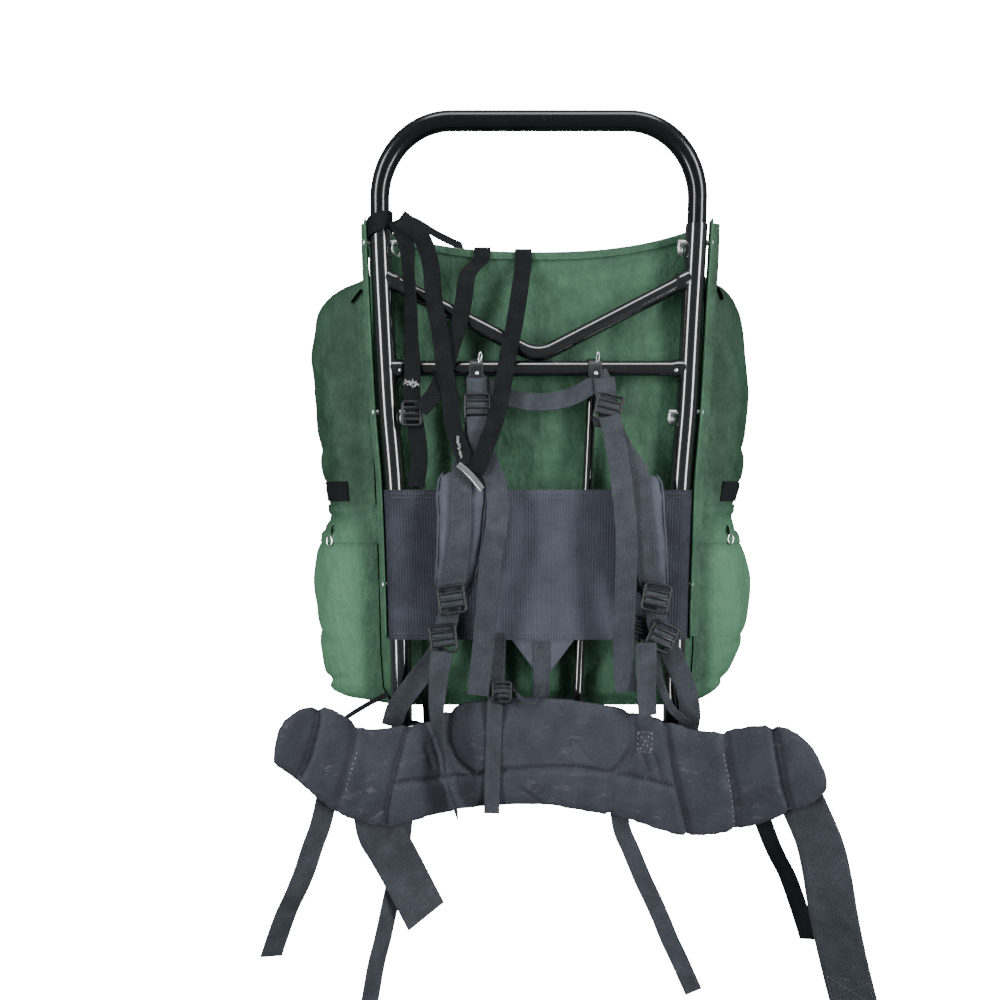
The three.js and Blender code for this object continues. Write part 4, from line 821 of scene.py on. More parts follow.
def bag_section(half, back, front, bulge, grow):
    """Rings of a rectangle with round corners, one for each row of sizes, its front bowed outward."""
    sizes = [np.asarray(size, float).reshape(-1, 1) for size in (half, back, front, bulge, grow)]
    half, back, front, bulge, grow = np.broadcast_arrays(*sizes)
    h, b, f = half + grow, back - grow, front + grow
    rb, rf = np.maximum(BACK_CORNER + grow, 3), np.maximum(FRONT_CORNER + grow, 3)
    turn = np.linspace(0, np.pi / 2, 9)[None]

    def corner(x, y, radius, start):
        return stacked(x + radius * np.cos(start + turn), y + radius * np.sin(start + turn))

    def between(start, end, steps):
        t = (np.arange(1, steps) / steps)[None, :, None]
        return start[:, -1:] + (end[:, :1] - start[:, -1:]) * t

    front_right = corner(h - rf, f - rf, rf, 0)
    front_left = corner(rf - h, f - rf, rf, np.pi / 2)
    back_left = corner(rb - h, b + rb, rb, np.pi)
    back_right = corner(h - rb, b + rb, rb, 1.5 * np.pi)
    ring = np.concatenate([
        front_right, between(front_right, front_left, 40), front_left, between(front_left, back_left, 24),
        back_left, between(back_left, back_right, 70), back_right, between(back_right, front_right, 24),
    ], axis=1)
    share = np.clip((ring[..., 1] - back) / (front - back), 0, 1)
    ring[..., 1] += bulge * share ** 4 * np.maximum(0, 1 - (ring[..., 0] / h) ** 2)
    return ring


def rim_lift(x, y):
    """The rim rises as a power of the distance from the middle, and less in front."""
    share = np.minimum(np.abs(x) / (BAG_HALF * BAG_WIDE[0]), 1)
    return RIM_RISE * share ** 2.5 * (1 - 0.6 * np.clip((y - BAG_BACK) / BAG_DEPTH, 0, 1))


BAG_CREASES = [
    (-120, 20, -90, 190, 9, 3.5), (-60, 150, -75, 330, 12, 3.0), (20, 15, 35, 150, 10, 2.5),
    (95, 30, 70, 260, 12, 3.5), (150, 60, 120, 200, 9, 3.0), (-150, 480, 150, 500, 9, 3.0),
    (-110, 455, -20, 515, 8, 3.5), (40, 515, 150, 440, 10, 4.0), (-40, 430, 60, 470, 10, 2.0),
    (110, 420, 160, 520, 7, 2.5), (-165, 400, -130, 520, 8, 3.0),
]


def build_bag():
    """One skin: the outer rings from floor to rim, then the inner ones back down, with folds that
    push both inward."""
    down = np.unique(np.concatenate([np.linspace(0, 0.94, 100), np.linspace(0.94, 1, 14)]))
    floor = ease(down, 0.96, 1)
    half = BAG_HALF * np.interp(down, BAG_DOWN, BAG_WIDE)
    front = BAG_BACK + BAG_DEPTH * np.interp(down, BAG_DOWN, BAG_DEEP)
    back = BAG_BACK + 8 * floor
    bulge = BULGE * (1 - floor)
    shells = []
    for grow in (0.0, -CLOTH):
        ring = bag_section(half, back, front, bulge, grow)
        x, y = ring[..., 0], ring[..., 1]
        settle = 1 - ease(down, 0.0, 0.12)[:, None]
        z = -BAG_TOP - BAG_HEIGHT * down[:, None] + rim_lift(x, y) * settle - grow * (down[:, None] > 0.9)
        drop = BAG_HEIGHT * down[:, None]
        calm = ease(down, 0.02, 0.1) * (1 - ease(down, 0.93, 1))
        fold = creased(x, drop, BAG_CREASES) + 1.3 * ripples(x + y, drop, 4, 90)
        room = np.where(np.abs(x) > half[:, None] - 22, 0.0, 1.0)
        inward = np.where(y < BAG_BACK + 40, 1.0, -1.0)
        y = y + inward * room * calm[:, None] * fold
        shells.append(stacked(x, y, z))
    outer, inner = shells
    grid = np.concatenate([outer[::-1], inner])
    bag = make_mesh("bag_shell", skin(grid, "fan"), 60)
    dress(bag, "bag_cloth", "bag_body")


build_bag()
print("bag's depth at the middle, mm:", BAG_DEPTH)

# %% [markdown]
# The lid is a separate flap over the mouth. Its skirt is short toward the frame, where it makes the
# dark rolled edge that shows behind the hoop, and deep behind.

# %% Lid
LID_WALL = 1.6
LID_BACK_SKIRT = 5.0
LID_SIDE_SKIRT = 26.0
LID_FRONT_SKIRT = 46.0
LID_CROWN = 14.0
POCKET_DEPTH = 152.0


def build_lid():
    """One skin: crown and skirt outside, then skirt and crown inside."""
    inside = 2 * GAP
    wide, deep = BAG_WIDE[0] * BAG_HALF, BAG_DEEP[0]
    inset = np.array([0, 0.004, 0.012, 0.03, 0.05, 0.08, 0.12, 0.17, 0.23, 0.3, 0.36])
    rise = np.interp(inset, [0, 0.004, 0.012, 0.08, 0.3, 0.36], [0, 0.12, 0.25, 0.62, 1, 1.03])

    def crown(wall):
        stand = inside + wall
        grow = np.where(inset == 0, stand, -BAG_DEPTH * inset + stand * np.exp(-inset * 90))
        ring = bag_section(wide, BAG_BACK, BAG_BACK + BAG_DEPTH * deep, BULGE, grow)
        x, y = ring[..., 0], ring[..., 1]
        z = -BAG_TOP + rim_lift(x, y) + inside + wall + LID_CROWN * rise[:, None]
        z = z + 1.5 * ripples(x, y, 9, 80) * ease(inset, 0.05, 0.2)[:, None]
        return stacked(x, y, z)

    def skirt(wall):
        share = np.linspace(1, 0, 9)[:, None]
        front = BAG_BACK + BAG_DEPTH * (deep + (BAG_DEEP[1] - deep) * share)
        ring = bag_section(wide, BAG_BACK, front, BULGE, inside + wall)
        x, y = ring[..., 0], ring[..., 1]
        front_share = ease(y, BAG_BACK + POCKET_DEPTH, BAG_BACK + POCKET_DEPTH + LID_FRONT_SKIRT)
        side_share = ease(y, BAG_BACK, BAG_BACK + BACK_CORNER)
        length = LID_BACK_SKIRT + (LID_SIDE_SKIRT - LID_BACK_SKIRT) * side_share
        length = length + (LID_FRONT_SKIRT - length) * front_share
        return stacked(x, y, -BAG_TOP + rim_lift(x, y) - length * share)

    outer = np.concatenate([crown(LID_WALL)[::-1], skirt(LID_WALL)[::-1][1:]])
    inner = np.concatenate([skirt(0.0), crown(0.0)[1:]])
    grid = np.concatenate([outer, inner])
    lid = make_mesh("lid_flap", skin(grid, "fan"), 60)
    dress(lid, "bag_cloth", "bag_lid")


build_lid()
print("lid's skirts, mm:", LID_BACK_SKIRT, LID_FRONT_SKIRT)

# %% [markdown]
# Two pockets hang on each side wall, one above the other. Each swells outward from the wall, slack and
# dented where it isn't full. The left ones bulge more than the right ones, as in the photograph.

# %% Side pockets
POCKETS = {
    "upper": {
        "drop": 148.0, "height": 302.0,
        "down": [0, 0.03, 0.1, 0.2, 0.32, 0.48, 0.66, 0.82, 0.94, 0.985, 1],
        "left": [0, 0.5, 0.83, 0.93, 1, 0.97, 0.95, 0.9, 0.84, 0.66, 0],
        "right": [0, 0.4, 0.62, 0.74, 0.8, 0.86, 0.86, 0.82, 0.72, 0.55, 0],
    },
    "lower": {
        "drop": 453.0, "height": 224.0,
        "down": [0, 0.02, 0.1, 0.22, 0.34, 0.5, 0.697, 0.893, 0.966, 1],
        "left": [0, 0.75, 0.98, 1.08, 1.12, 1.08, 1.02, 0.93, 0.82, 0],
        "right": [0, 0.6, 0.83, 0.97, 1.04, 1, 0.86, 0.64, 0.45, 0],
    },
}
POCKET_SWELL = 86.0
POCKET_SETBACK = 8.0
POCKET_FOLDS = [
    ("upper", 0.18, 0.72, 0.1, 0.22, 0.13), ("upper", 0.45, 0.9, 0.3, 0.06, 0.1),
    ("upper", 0.75, 0.3, 0.12, 0.25, 0.08), ("lower", 0.22, 0.3, 0.1, 0.25, 0.12),
    ("lower", 0.6, 0.75, 0.2, 0.1, 0.08),
]
POCKET_CREASES = {
    "upper": [(5, 40, 30, 150, 6, 4), (60, 20, 50, 120, 7, 3), (20, 180, 90, 240, 7, 4.5),
              (110, 60, 100, 230, 9, 4), (4, 225, 60, 262, 5, 4), (30, 120, 34, 230, 5, 3)],
    "lower": [(6, 20, 30, 110, 6, 4), (50, 15, 90, 60, 7, 3.5), (15, 150, 90, 120, 7, 4),
              (100, 40, 110, 180, 9, 4), (4, 190, 70, 206, 5, 4)],
}


def rounded(across):
    """A pocket's profile over its depth: 0 at both edges and nearly 1 between, by a fourth power."""
    return (1 - np.abs(2 * across - 1) ** 4) ** 0.6


def pocket_grid(level, hand, inset, across, down):
    """A pocket's wall: it stands out from the bag's side by the swell at each height, times a rounded
    profile across its depth, less its dents."""
    pocket = POCKETS[level]
    sign = -1 if hand == "left" else 1
    height = pocket["height"] - 2 * inset
    z = -pocket["drop"] - inset - height * down
    profile = rounded(across)
    swell = smooth_table(pocket["down"], pocket[hand], down) + 0 * across
    for name, at, low, wide, tall, depth in POCKET_FOLDS:
        if name == level:
            dent = np.exp(-((across - at) / wide) ** 2 - ((down - low) / tall) ** 2)
            swell = swell - depth * dent * np.minimum(1, swell)
    out = (POCKET_SWELL * swell - inset) * profile
    flat_x, flat_z = POCKET_DEPTH * across, pocket["height"] * down
    fold = 1.7 * creased(flat_x, flat_z, POCKET_CREASES[level])
    wave = 1.6 * ripples(flat_x, flat_z, 7 + len(level) + sign, 55)
    out = np.maximum(0, out - (fold + wave + 1.0) * profile * np.minimum(1, swell * 1.4))
    wall = BAG_HALF * np.interp((-z - BAG_TOP) / BAG_HEIGHT, BAG_DOWN, BAG_WIDE)
    x = sign * (wall + 2 * GAP + out)
    y = BAG_BACK + POCKET_SETBACK + inset + (POCKET_DEPTH - 2 * inset) * across
    return stacked(x, y, z)


def build_pockets():
    """A sheet between two pocket grids, one inset by the cloth's thickness."""
    across = ((1 - np.cos(np.pi * np.arange(41) / 40)) / 2)[None]
    for hand in ("left", "right"):
        for level, pocket in POCKETS.items():
            rows = np.unique(np.concatenate([np.linspace(0, 1, 56), pocket["down"]]))[:, None]
            front = pocket_grid(level, hand, 0.0, across, rows)
            back = pocket_grid(level, hand, CLOTH, across, rows)
            piece = make_mesh(f"pocket_wall_{level}_{hand}", sheet_skin(front, back), 60)
            dress(piece, "bag_cloth", f"pocket_{level}_{hand}")


build_pockets()
print("pockets' swell at their fullest, mm:", POCKET_SWELL)

# %% [markdown]
# Webbing is a flat strip with rounded selvedges, a little thicker at its edges than in its middle. Its
# UVs are metres along and across, so the weave follows it. Each strap below is a short table of places
# down the pack, joined by a smooth route. LAID keeps each strap's points, for what is sewn on it later.

# %% Webbing helper
ACROSS = (1, 0, 0)


def strip_section(width, thick, columns=10):
    """Front and back of a flat strip with round edges: half circles of the thickness join the faces."""
    half = width / 2 - thick / 2
    across = np.linspace(-half, half, columns)
    edge = np.linspace(-np.pi / 2, np.pi / 2, 6)[1:-1]
    dip = 0.12 * (1 - (across / half) ** 6)
    front = stacked(across, -thick / 2 + dip)
    right = stacked(half + thick / 2 * np.cos(edge), thick / 2 * np.sin(edge))
    back = stacked(across[::-1], thick / 2 - dip)
    left = stacked(-half - thick / 2 * np.cos(edge), -thick / 2 * np.sin(edge))
    return np.vstack([front, right, back, left])


def strip_skin(path, width, thick=WEB, across=ACROSS, turn=0.0, step=4.0, cup=0.0):
    """Webbing along a route. Cup bows its section, and the UVs hold metres along and across."""
    turn = np.broadcast_to(np.asarray(turn, float), len(path))
    path, at, turn = evenly(path, step, turn)
    section = strip_section(width, thick)
    bow = cup * (1 - (2 * section[:, 0] / width) ** 2)
    section = section + stacked(0 * bow, -bow)
    grid = sweep(path, section, across, np.radians(turn))
    uv = stacked(at[:, None] * MM, section[None, :, 0] * MM)
    return skin(grid, "fan", uv)


LAID = {}


def strap(name, points, width, slot="grey_webbing", turns=None, across=ACROSS, cup=0.0):
    """A strap of webbing through its points, standing for the CAD node of the same name."""
    LAID[name] = (np.asarray(points, float), across)
    path = route(points)
    turn = 0.0
    if turns is not None:
        turn = np.interp(np.linspace(0, len(turns) - 1, len(path)), np.arange(len(turns)), turns)
    piece = make_mesh(f"web_{name}", strip_skin(path, width, across=across, turn=turn, cup=cup), 50)
    return dress(piece, slot, name)


def strap_rows(name, rows, width=25.0, slot="grey_webbing", **options):
    """A strap whose rows hold x, down and out as shares, and a turn in degrees where it twists."""
    rows = [tuple(row) + (0,) * (4 - len(row)) for row in rows]
    turns = [row[3] for row in rows]
    return strap(name, points_of([row[:3] for row in rows]), width, slot, turns=turns, **options)


print("points round a strap:", len(strip_section(25.0, WEB)))

# %% [markdown]
# A broad woven band wraps both side tubes and is stretched between them. Its line at each height is two
# half circles with a straight front between, and each end is a hem that lies flat behind its tube.

# %% Back band
BAND_TOP = 411.0
BAND_BOTTOM = 588.0
BAND_HEM = 26.0


def band_line(radius, z, columns=90):
    """The band's line round both tubes at each height: hem, half circle, straight front, half circle."""
    z = np.asarray(z, float).reshape(-1, 1)
    turn = np.linspace(0, np.pi, 13)[None]
    cx, cy = tube_half(z), frame_back(z)

    def half_circle(x, start):
        return stacked(x + radius * np.cos(start + turn), cy + radius * np.sin(start + turn))

    left = half_circle(-cx, np.pi / 2)
    right = half_circle(cx, 1.5 * np.pi)
    t = np.linspace(0, 1, columns + 2)[None, 1:-1, None]
    front = left[:, -1:] + (right[:, :1] - left[:, -1:]) * t
    hem = np.array([BAND_HEM, 0.0]) * np.linspace(1, 0, 6)[None, :-1, None]
    return np.concatenate([left[:, :1] + hem, left, front, right, right[:, -1:] - hem[:, ::-1]], axis=1)


def build_band():
    """The band's line at each height, with slack in the middle and thicker hems."""
    inner = TUBE_RADIUS + GAP
    z = -np.linspace(BAND_TOP, BAND_BOTTOM, 45)
    edge = np.minimum(-z - BAND_TOP, BAND_BOTTOM + z)
    grids = []
    for radius in (inner + BAND_WALL, inner):
        line = band_line(radius, z)
        sag = np.clip(1 - (line[..., 0] / (tube_half(z)[:, None] - 6)) ** 2, 0, 1)
        slack = 1.2 * sag * (1 - 0.4 * np.cos(edge[:, None] / 12))
        front = line[..., 1] < frame_back(z)[:, None] - inner + 0.5
        hem = 0.35 * (1 - ease(edge, 10, 12))[:, None] * (radius > inner)
        y = line[..., 1] + np.where(front, slack - hem, 0)
        grids.append(stacked(line[..., 0], y, np.broadcast_to(z[:, None], y.shape)))
    around = lengths(grids[0][20])
    uv = stacked(z[:, None] * MM, around[None] * MM)
    band = make_mesh("band_woven", sheet_skin(grids[0], grids[1], uv), 60)
    dress(band, "band_cloth", "back_band")
    return around[-1]


band_length = build_band()
print("band round both tubes, mm:", round(band_length, 1))

# %% [markdown]
# The yoke hangs in a bow from the upper crossbar. Long tails hang from the upper ladder-locks, and other
# straps run from the end ladder-locks to the frame's feet. A table has a row wherever the real strap
# bends, with a fourth number where it also twists.

# %% Yoke, tails and lower webbing
def build_yoke():
    """Seven places along the bow, hung at the crossbar's own depth."""
    seat = float(frame_back(-UPPER_BAR)) - BRACE_RADIUS - GAP - WEB / 2
    deeper = seat - WEB
    hung = (UPPER_BAR + 10.5) / HEIGHT
    rows = [(-0.45, hung, seat), (-0.35, 0.401, seat), (-0.18, 0.423, deeper), (0.01, 0.43, deeper),
            (0.2, 0.422, deeper), (0.36, 0.4, seat), (0.46, hung, seat)]
    points = [(x * HALF, y, -down * HEIGHT) for x, down, y in rows]
    strap("yoke_webbing", points, 21.0, across=(0, 0, 1), cup=0.8)


build_yoke()
strap_rows("long_tail_left", [
    (-0.385, 0.455, 0.085), (-0.375, 0.49, 0.12), (-0.32, 0.53, 0.17), (-0.265, 0.57, 0.24),
    (-0.26, 0.625, 0.36), (-0.3, 0.69, 0.38), (-0.32, 0.75, 0.32), (-0.35, 0.835, 0.24),
    (-0.38, 0.905, 0.23),
], cup=0.5)
strap_rows("long_tail_right", [
    (0.44, 0.455, 0.09), (0.47, 0.49, 0.13), (0.49, 0.53, 0.22), (0.505, 0.585, 0.36),
    (0.52, 0.655, 0.43), (0.515, 0.76, 0.36), (0.515, 0.84, 0.26), (0.535, 0.9, 0.24),
], cup=0.5)
strap_rows("lower_webbing_left", [
    (-0.61, 0.83, 0.12), (-0.68, 0.86, 0.08), (-0.76, 0.885, 0.04), (-0.83, 0.91, 0.02),
    (-0.895, 0.935, 0), (-0.93, 0.965, -0.015),
])
strap_rows("lower_webbing_right", [
    (0.8, 0.83, 0.12), (0.845, 0.85, 0.08), (0.89, 0.875, 0.04), (0.935, 0.905, 0.02),
    (0.96, 0.945, 0), (0.95, 0.97, -0.02),
])
strap_rows("lower_tail_left", [
    (-0.6, 0.835, 0.246, 0), (-0.62, 0.88, 0.32, 28), (-0.63, 0.92, 0.36, 42), (-0.62, 0.95, 0.38, 50),
    (-0.6, 0.975, 0.39, 64), (-0.58, 1, 0.39, 76), (-0.57, 1.03, 0.39, 82), (-0.54, 1.06, 0.38, 85),
    (-0.5, 1.09, 0.37, 85),
])
strap_rows("lower_tail_right", [
    (0.655, 0.82, 0.25, 0), (0.655, 0.86, 0.27, -10), (0.655, 0.9, 0.29, -20), (0.66, 0.935, 0.3, -25),
])
print("straps laid so far:", len(LAID))

# %% [markdown]
# Padded pieces are cloth over foam. Each starts as a slightly slim closed form, is remeshed evenly,
# and is blown up from inside by a cloth simulation, while its seams are held. The movement is capped,
# so the pad keeps its size, and one subdivision smooths the result.

# %% Cloth simulation for padded pieces
CLOTH_CELL = 0.0042  # metres between the cloth's points
PRESSURE = 4.0
STEPS = 20


def evaluated_mesh(piece):
    """A copy of the piece's mesh with its modifiers applied."""
    graph = bpy.context.evaluated_depsgraph_get()
    return bpy.data.meshes.new_from_object(piece.evaluated_get(graph))


def mesh_points(mesh):
    """The mesh's points as rows of three, in metres."""
    flat = np.zeros(len(mesh.vertices) * 3)
    mesh.vertices.foreach_get("co", flat)
    return flat.reshape(-1, 3)


def inflated(piece, cap, held):
    """Remeshes the piece to even cells, holds the places that held() marks, lets inside pressure push
    the cloth out for some steps, and limits how far each point moved."""
    remesh = piece.modifiers.new("even", "REMESH")
    remesh.mode = "VOXEL"
    remesh.voxel_size = CLOTH_CELL
    even = evaluated_mesh(piece)
    piece.modifiers.clear()
    piece.data = even
    rest = mesh_points(even)
    group = piece.vertex_groups.new(name="held")
    weight = held(rest / MM)
    for level in (0.25, 0.5, 0.75, 1.0):
        chosen = np.flatnonzero((weight > level - 0.25) & (weight <= level))
        group.add(chosen.tolist(), level, "REPLACE")
    cloth = piece.modifiers.new("cloth", "CLOTH")
    cloth.settings.quality = 5
    cloth.settings.mass = 0.3
    cloth.settings.tension_stiffness = 18
    cloth.settings.compression_stiffness = 12
    cloth.settings.bending_stiffness = 0.6
    cloth.settings.vertex_group_mass = "held"
    cloth.settings.use_pressure = True
    cloth.settings.uniform_pressure_force = PRESSURE
    cloth.settings.effector_weights.gravity = 0
    scene = bpy.context.scene
    for step in range(1, STEPS + 1):
        scene.frame_set(step)
    moved = mesh_points(evaluated_mesh(piece)) - rest
    scene.frame_set(1)
    length = np.linalg.norm(moved, axis=1, keepdims=True)
    limit = cap * MM
    rest = rest + moved * np.minimum(1, limit / np.maximum(length, 1e-9))
    piece.modifiers.clear()
    piece.vertex_groups.clear()
    print(piece.name, "moved up to", round(float(length.max()) / MM, 1), "mm, capped at", cap)
    even.vertices.foreach_set("co", rest.ravel())
    even.update()
    smooth = piece.modifiers.new("finer", "SUBSURF")
    smooth.levels = smooth.render_levels = 1
    fine = evaluated_mesh(piece)
    piece.modifiers.clear()
    piece.data = fine
    fine.polygons.foreach_set("use_smooth", np.ones(len(fine.polygons), bool))


def move_points(piece, change):
    """Gives a mesh the points that a function of its points, in millimetres, returns."""
    mesh = piece.data
    points = change(mesh_points(mesh) / MM, mesh)
    mesh.vertices.foreach_set("co", (points * MM).ravel())
    mesh.update()


def normals_of(mesh):
    """The mesh's directions outward at its points."""
    flat = np.zeros(len(mesh.vertices) * 3)
    mesh.vertices.foreach_get("normal", flat)
    return flat.reshape(-1, 3)


# %% [markdown]
# The shoulder pads taper from the shoulder to the buckle. Their section is a lens with blunt edges,
# where the piping is sewn, and a line of webbing runs down the front.

# %% Shoulder pads
PAD_HALF = 29.0
PAD_THICK = 12.0
PAD_SLIM = 0.86
PAD_CAP = 3.5
PADS = {
    "left": [(-0.475, 0.545, 0.09, 0.8, 0.5), (-0.475, 0.56, 0.14, 0.98, 0.85), (-0.48, 0.585, 0.21, 1, 1),
             (-0.48, 0.62, 0.28, 0.92, 1), (-0.49, 0.66, 0.3, 0.88, 1), (-0.505, 0.695, 0.27, 0.84, 0.95),
             (-0.53, 0.73, 0.2, 0.74, 0.8), (-0.54, 0.74, 0.18, 0.66, 0.45)],
    "right": [(0.615, 0.55, 0.09, 0.8, 0.5), (0.615, 0.565, 0.14, 0.98, 0.85), (0.615, 0.59, 0.21, 1, 1),
              (0.62, 0.62, 0.28, 0.94, 1), (0.635, 0.66, 0.3, 0.9, 1), (0.65, 0.695, 0.27, 0.86, 0.95),
              (0.68, 0.73, 0.2, 0.76, 0.8), (0.69, 0.74, 0.18, 0.66, 0.45)],
}
PAD_WEB = {
    "left": ([(-0.39, 0.39, -0.032), (-0.39, 0.44, -0.005), (-0.4, 0.475, 0.03), (-0.44, 0.515, 0.1)],
             [(-0.545, 0.755, 0.2), (-0.565, 0.78, 0.18), (-0.59, 0.81, 0.18)]),
    "right": ([(0.42, 0.39, -0.032), (0.44, 0.44, -0.005), (0.47, 0.475, 0.03), (0.54, 0.515, 0.1)],
              [(0.7, 0.755, 0.2), (0.725, 0.78, 0.18), (0.755, 0.81, 0.18)]),
}


def pad_path(hand, per_span=8):
    """The pad's middle line, with its half width and half thickness at each point."""
    rows = np.array(PADS[hand])
    path = route(points_of(rows[:, :3]), per_span)
    at = np.arange(len(path)) / per_span
    half = np.interp(at, np.arange(len(rows)), rows[:, 3])
    thick = np.interp(at, np.arange(len(rows)), rows[:, 4])
    return path, half * PAD_HALF, thick * PAD_THICK / 2


def build_pad(hand):
    """A blunt lens carried down the pad's line, swollen, and piped along both edges."""
    path, half, thick = pad_path(hand)
    angle = np.linspace(0, 2 * np.pi, 41)[:-1]
    wide = np.sign(np.cos(angle)) * np.abs(np.cos(angle)) ** 0.55
    deep = np.sin(angle) * (0.92 + 0.08 * np.cos(angle) ** 2)
    slim = PAD_SLIM
    section = stacked(half[:, None] * wide * 0.985, thick[:, None] * deep * slim)
    pad = make_mesh(f"pad_{hand}", skin(sweep(path, section, ACROSS), "fan"))

    def held(points):
        near = np.linalg.norm(points[:, None] - path[None], axis=2)
        k = near.argmin(1)
        side = np.abs(points[:, 0] - path[k, 0]) / half[k]
        return ease(side, 0.9, 0.99)

    inflated(pad, PAD_CAP, held)
    dress(pad, "pad_cloth", f"shoulder_pad_{hand}")
    _, across, depth = axes_along(path, ACROSS)
    pipes = []
    for side in (-1, 1):
        edge = path + side * across * (half[:, None] - 0.4)
        pipes.append(rod_skin(evenly(edge, 3.0)[0], 1.1, count=8, round_end=2.0))
    dress(make_mesh(f"pad_piping_{hand}", joined(*pipes)), "pad_cloth")


def build_pad_webbing(hand):
    """Webbing from the upper ladder-lock down the pad's front."""
    rows = points_of([row[:3] for row in PADS[hand]])
    _, _, deep = axes_along(rows, ACROSS)
    front = np.where(deep[:, 1:2] < 0, deep, -deep)
    over = rows + front * (PAD_THICK / 2 + 2 * GAP + WEB / 2)
    above, below = PAD_WEB[hand]
    points = np.vstack([points_of(above), over, points_of(below)])
    strap(f"pad_webbing_{hand}", points, 25.0)


for hand in ("left", "right"):
    build_pad(hand)
    build_pad_webbing(hand)

# %% [markdown]
# The hip belt is the largest padded piece. It is flat behind the waist and its wings come forward. Its
# outline is a table of upper and lower edges, and its quilting lines are given as they show in the
# photograph. The camera's rays find the same lines on the belt's front.

# %% Hip belt form
BELT_HALF = 289.0
BELT_SHIFT = 7.0
BELT_DROP = 651.0
BELT_HEIGHT = 128.0
BELT_THICK = 18.0
BELT_FLAT = 90.0
BELT_WING = 92.0
BELT_POWER = 1.6
BELT_SLIM = 0.84
BELT_CAP = 2.0
BELT_ROWS = np.array([
    (-1, 0.27, 0.38, 0.3), (-0.985, 0.1, 0.42, 0.6), (-0.945, -0.015, 0.515, 0.9), (-0.886, -0.07, 0.68, 0.7),
    (-0.824, -0.03, 0.86, 1), (-0.76, 0.08, 0.97, 0.95), (-0.7, 0.19, 1.05, 0.7), (-0.623, 0.22, 1.13, 1),
    (-0.56, 0.215, 1.12, 0.7), (-0.453, 0.19, 1.08, 1), (-0.37, 0.08, 1.055, 0.75), (-0.246, 0.03, 1.02, 1),
    (-0.024, 0, 1, 1), (0.218, 0.055, 1.085, 1), (0.35, 0.12, 1.15, 0.75), (0.45, 0.17, 1.2, 1),
    (0.545, 0.22, 1.24, 0.7), (0.62, 0.25, 1.19, 1), (0.7, 0.2, 1.13, 0.7), (0.78, 0.14, 1.03, 1),
    (0.841, 0.11, 0.945, 0.7), (0.9, 0.125, 0.835, 0.95), (0.962, 0.25, 0.725, 0.7), (1, 0.45, 0.6, 0.3),
])
BELT_SEAT = float(harness_depth(-HEIGHT, 0)) - WEB / 2 - GAP - BELT_THICK / 2


def belt_depth(x):
    """The belt's line from above: flat behind the waist, then forward as a power."""
    share = np.maximum(0, (np.abs(np.asarray(x, float) - BELT_SHIFT) - BELT_FLAT) / (BELT_HALF - BELT_FLAT))
    return BELT_SEAT - BELT_WING * share ** BELT_POWER


def belt_slope(x):
    """The slope of that line, over two millimetres."""
    return (belt_depth(np.asarray(x, float) + 1) - belt_depth(np.asarray(x, float) - 1)) / 2


def on_belt(pixels, rounds=6):
    """Places on the belt's line that show at the pixels: the depth is found by a few rounds, since it
    depends on X and X depends on it."""
    pixels = np.asarray(pixels, float)
    depth = np.full(len(pixels), BELT_SEAT)
    for _ in range(rounds):
        depth = belt_depth(seen_at(pixels[:, 0], pixels[:, 1], depth)[:, 0]) - BELT_THICK / 2
    return seen_at(pixels[:, 0], pixels[:, 1], depth)


BELT_SEAMS = [
    ([(314, 705), (318, 713), (318.7, 722), (314, 740), (308.5, 759), (299.5, 780)], 3.2, 5.0),
    ([(356, 722), (353, 751), (347, 772), (341.6, 792), (338, 812)], 4.0, 3.0),
    ([(411, 722), (408, 730), (401, 755), (394, 782), (389, 806), (386, 830)], 3.4, 4.4),
    ([(395, 785), (430, 781), (460, 778), (501, 772), (547, 769.5), (582, 770), (619, 776.5), (676, 788.8)],
     3.0, 4.2),
    ([(450, 708), (448, 722), (448, 745), (456, 762), (472, 776)], 4.0, 4.0),
    ([(631, 710), (634, 724), (635, 742), (630, 755), (620, 768), (612, 776)], 4.0, 4.0),
    ([(667, 722), (668, 735), (672, 762), (676.5, 785.7), (683, 812), (690, 842)], 3.4, 4.6),
    ([(726, 735), (727, 753.6), (731, 776), (734.7, 798), (738.5, 836)], 4.0, 3.6),
    ([(774, 722), (776, 738), (780.6, 769), (785, 792), (792, 813)], 3.0, 5.5),
    ([(612, 776), (611, 796), (610, 820)], 4.0, 3.0),
    ([(425, 746), (433, 768)], 2.4, 1.8), ([(434, 742), (443, 766)], 2.4, 1.8),
    ([(644, 757), (649, 780)], 2.4, 1.8), ([(655, 757), (661, 783)], 2.4, 1.8),
    ([(520, 790), (540, 805)], 2.4, 1.4), ([(575, 742), (590, 762)], 2.8, 1.2),
]


def seam_lines():
    """Each seam as a smooth line in space, with the width and depth of its pull."""
    return [(route(on_belt(pixels), 14), wide, deep) for pixels, wide, deep in BELT_SEAMS]


def seam_depth(points, lines):
    """Pull of the quilting at each point: a bell over the distance to each line, seen from the front."""
    pull = np.zeros(len(points))
    for line, wide, deep in lines:
        flat = np.linalg.norm(points[:, None, [0, 2]] - line[None][:, :, [0, 2]], axis=2).min(1)
        pull = np.maximum(pull, deep * np.exp(-(flat / wide) ** 2))
    return pull


print("belt wraps forward by, mm:", round(BELT_SEAT - float(belt_depth(BELT_SHIFT + BELT_HALF)), 1))

# %% [markdown]
# The belt is swollen like the pads, held along its seams and edges, so that each panel fills by itself.
# Then the seams are drawn in, because the simulation alone leaves them too shallow, and soft folds are
# laid over the panels.

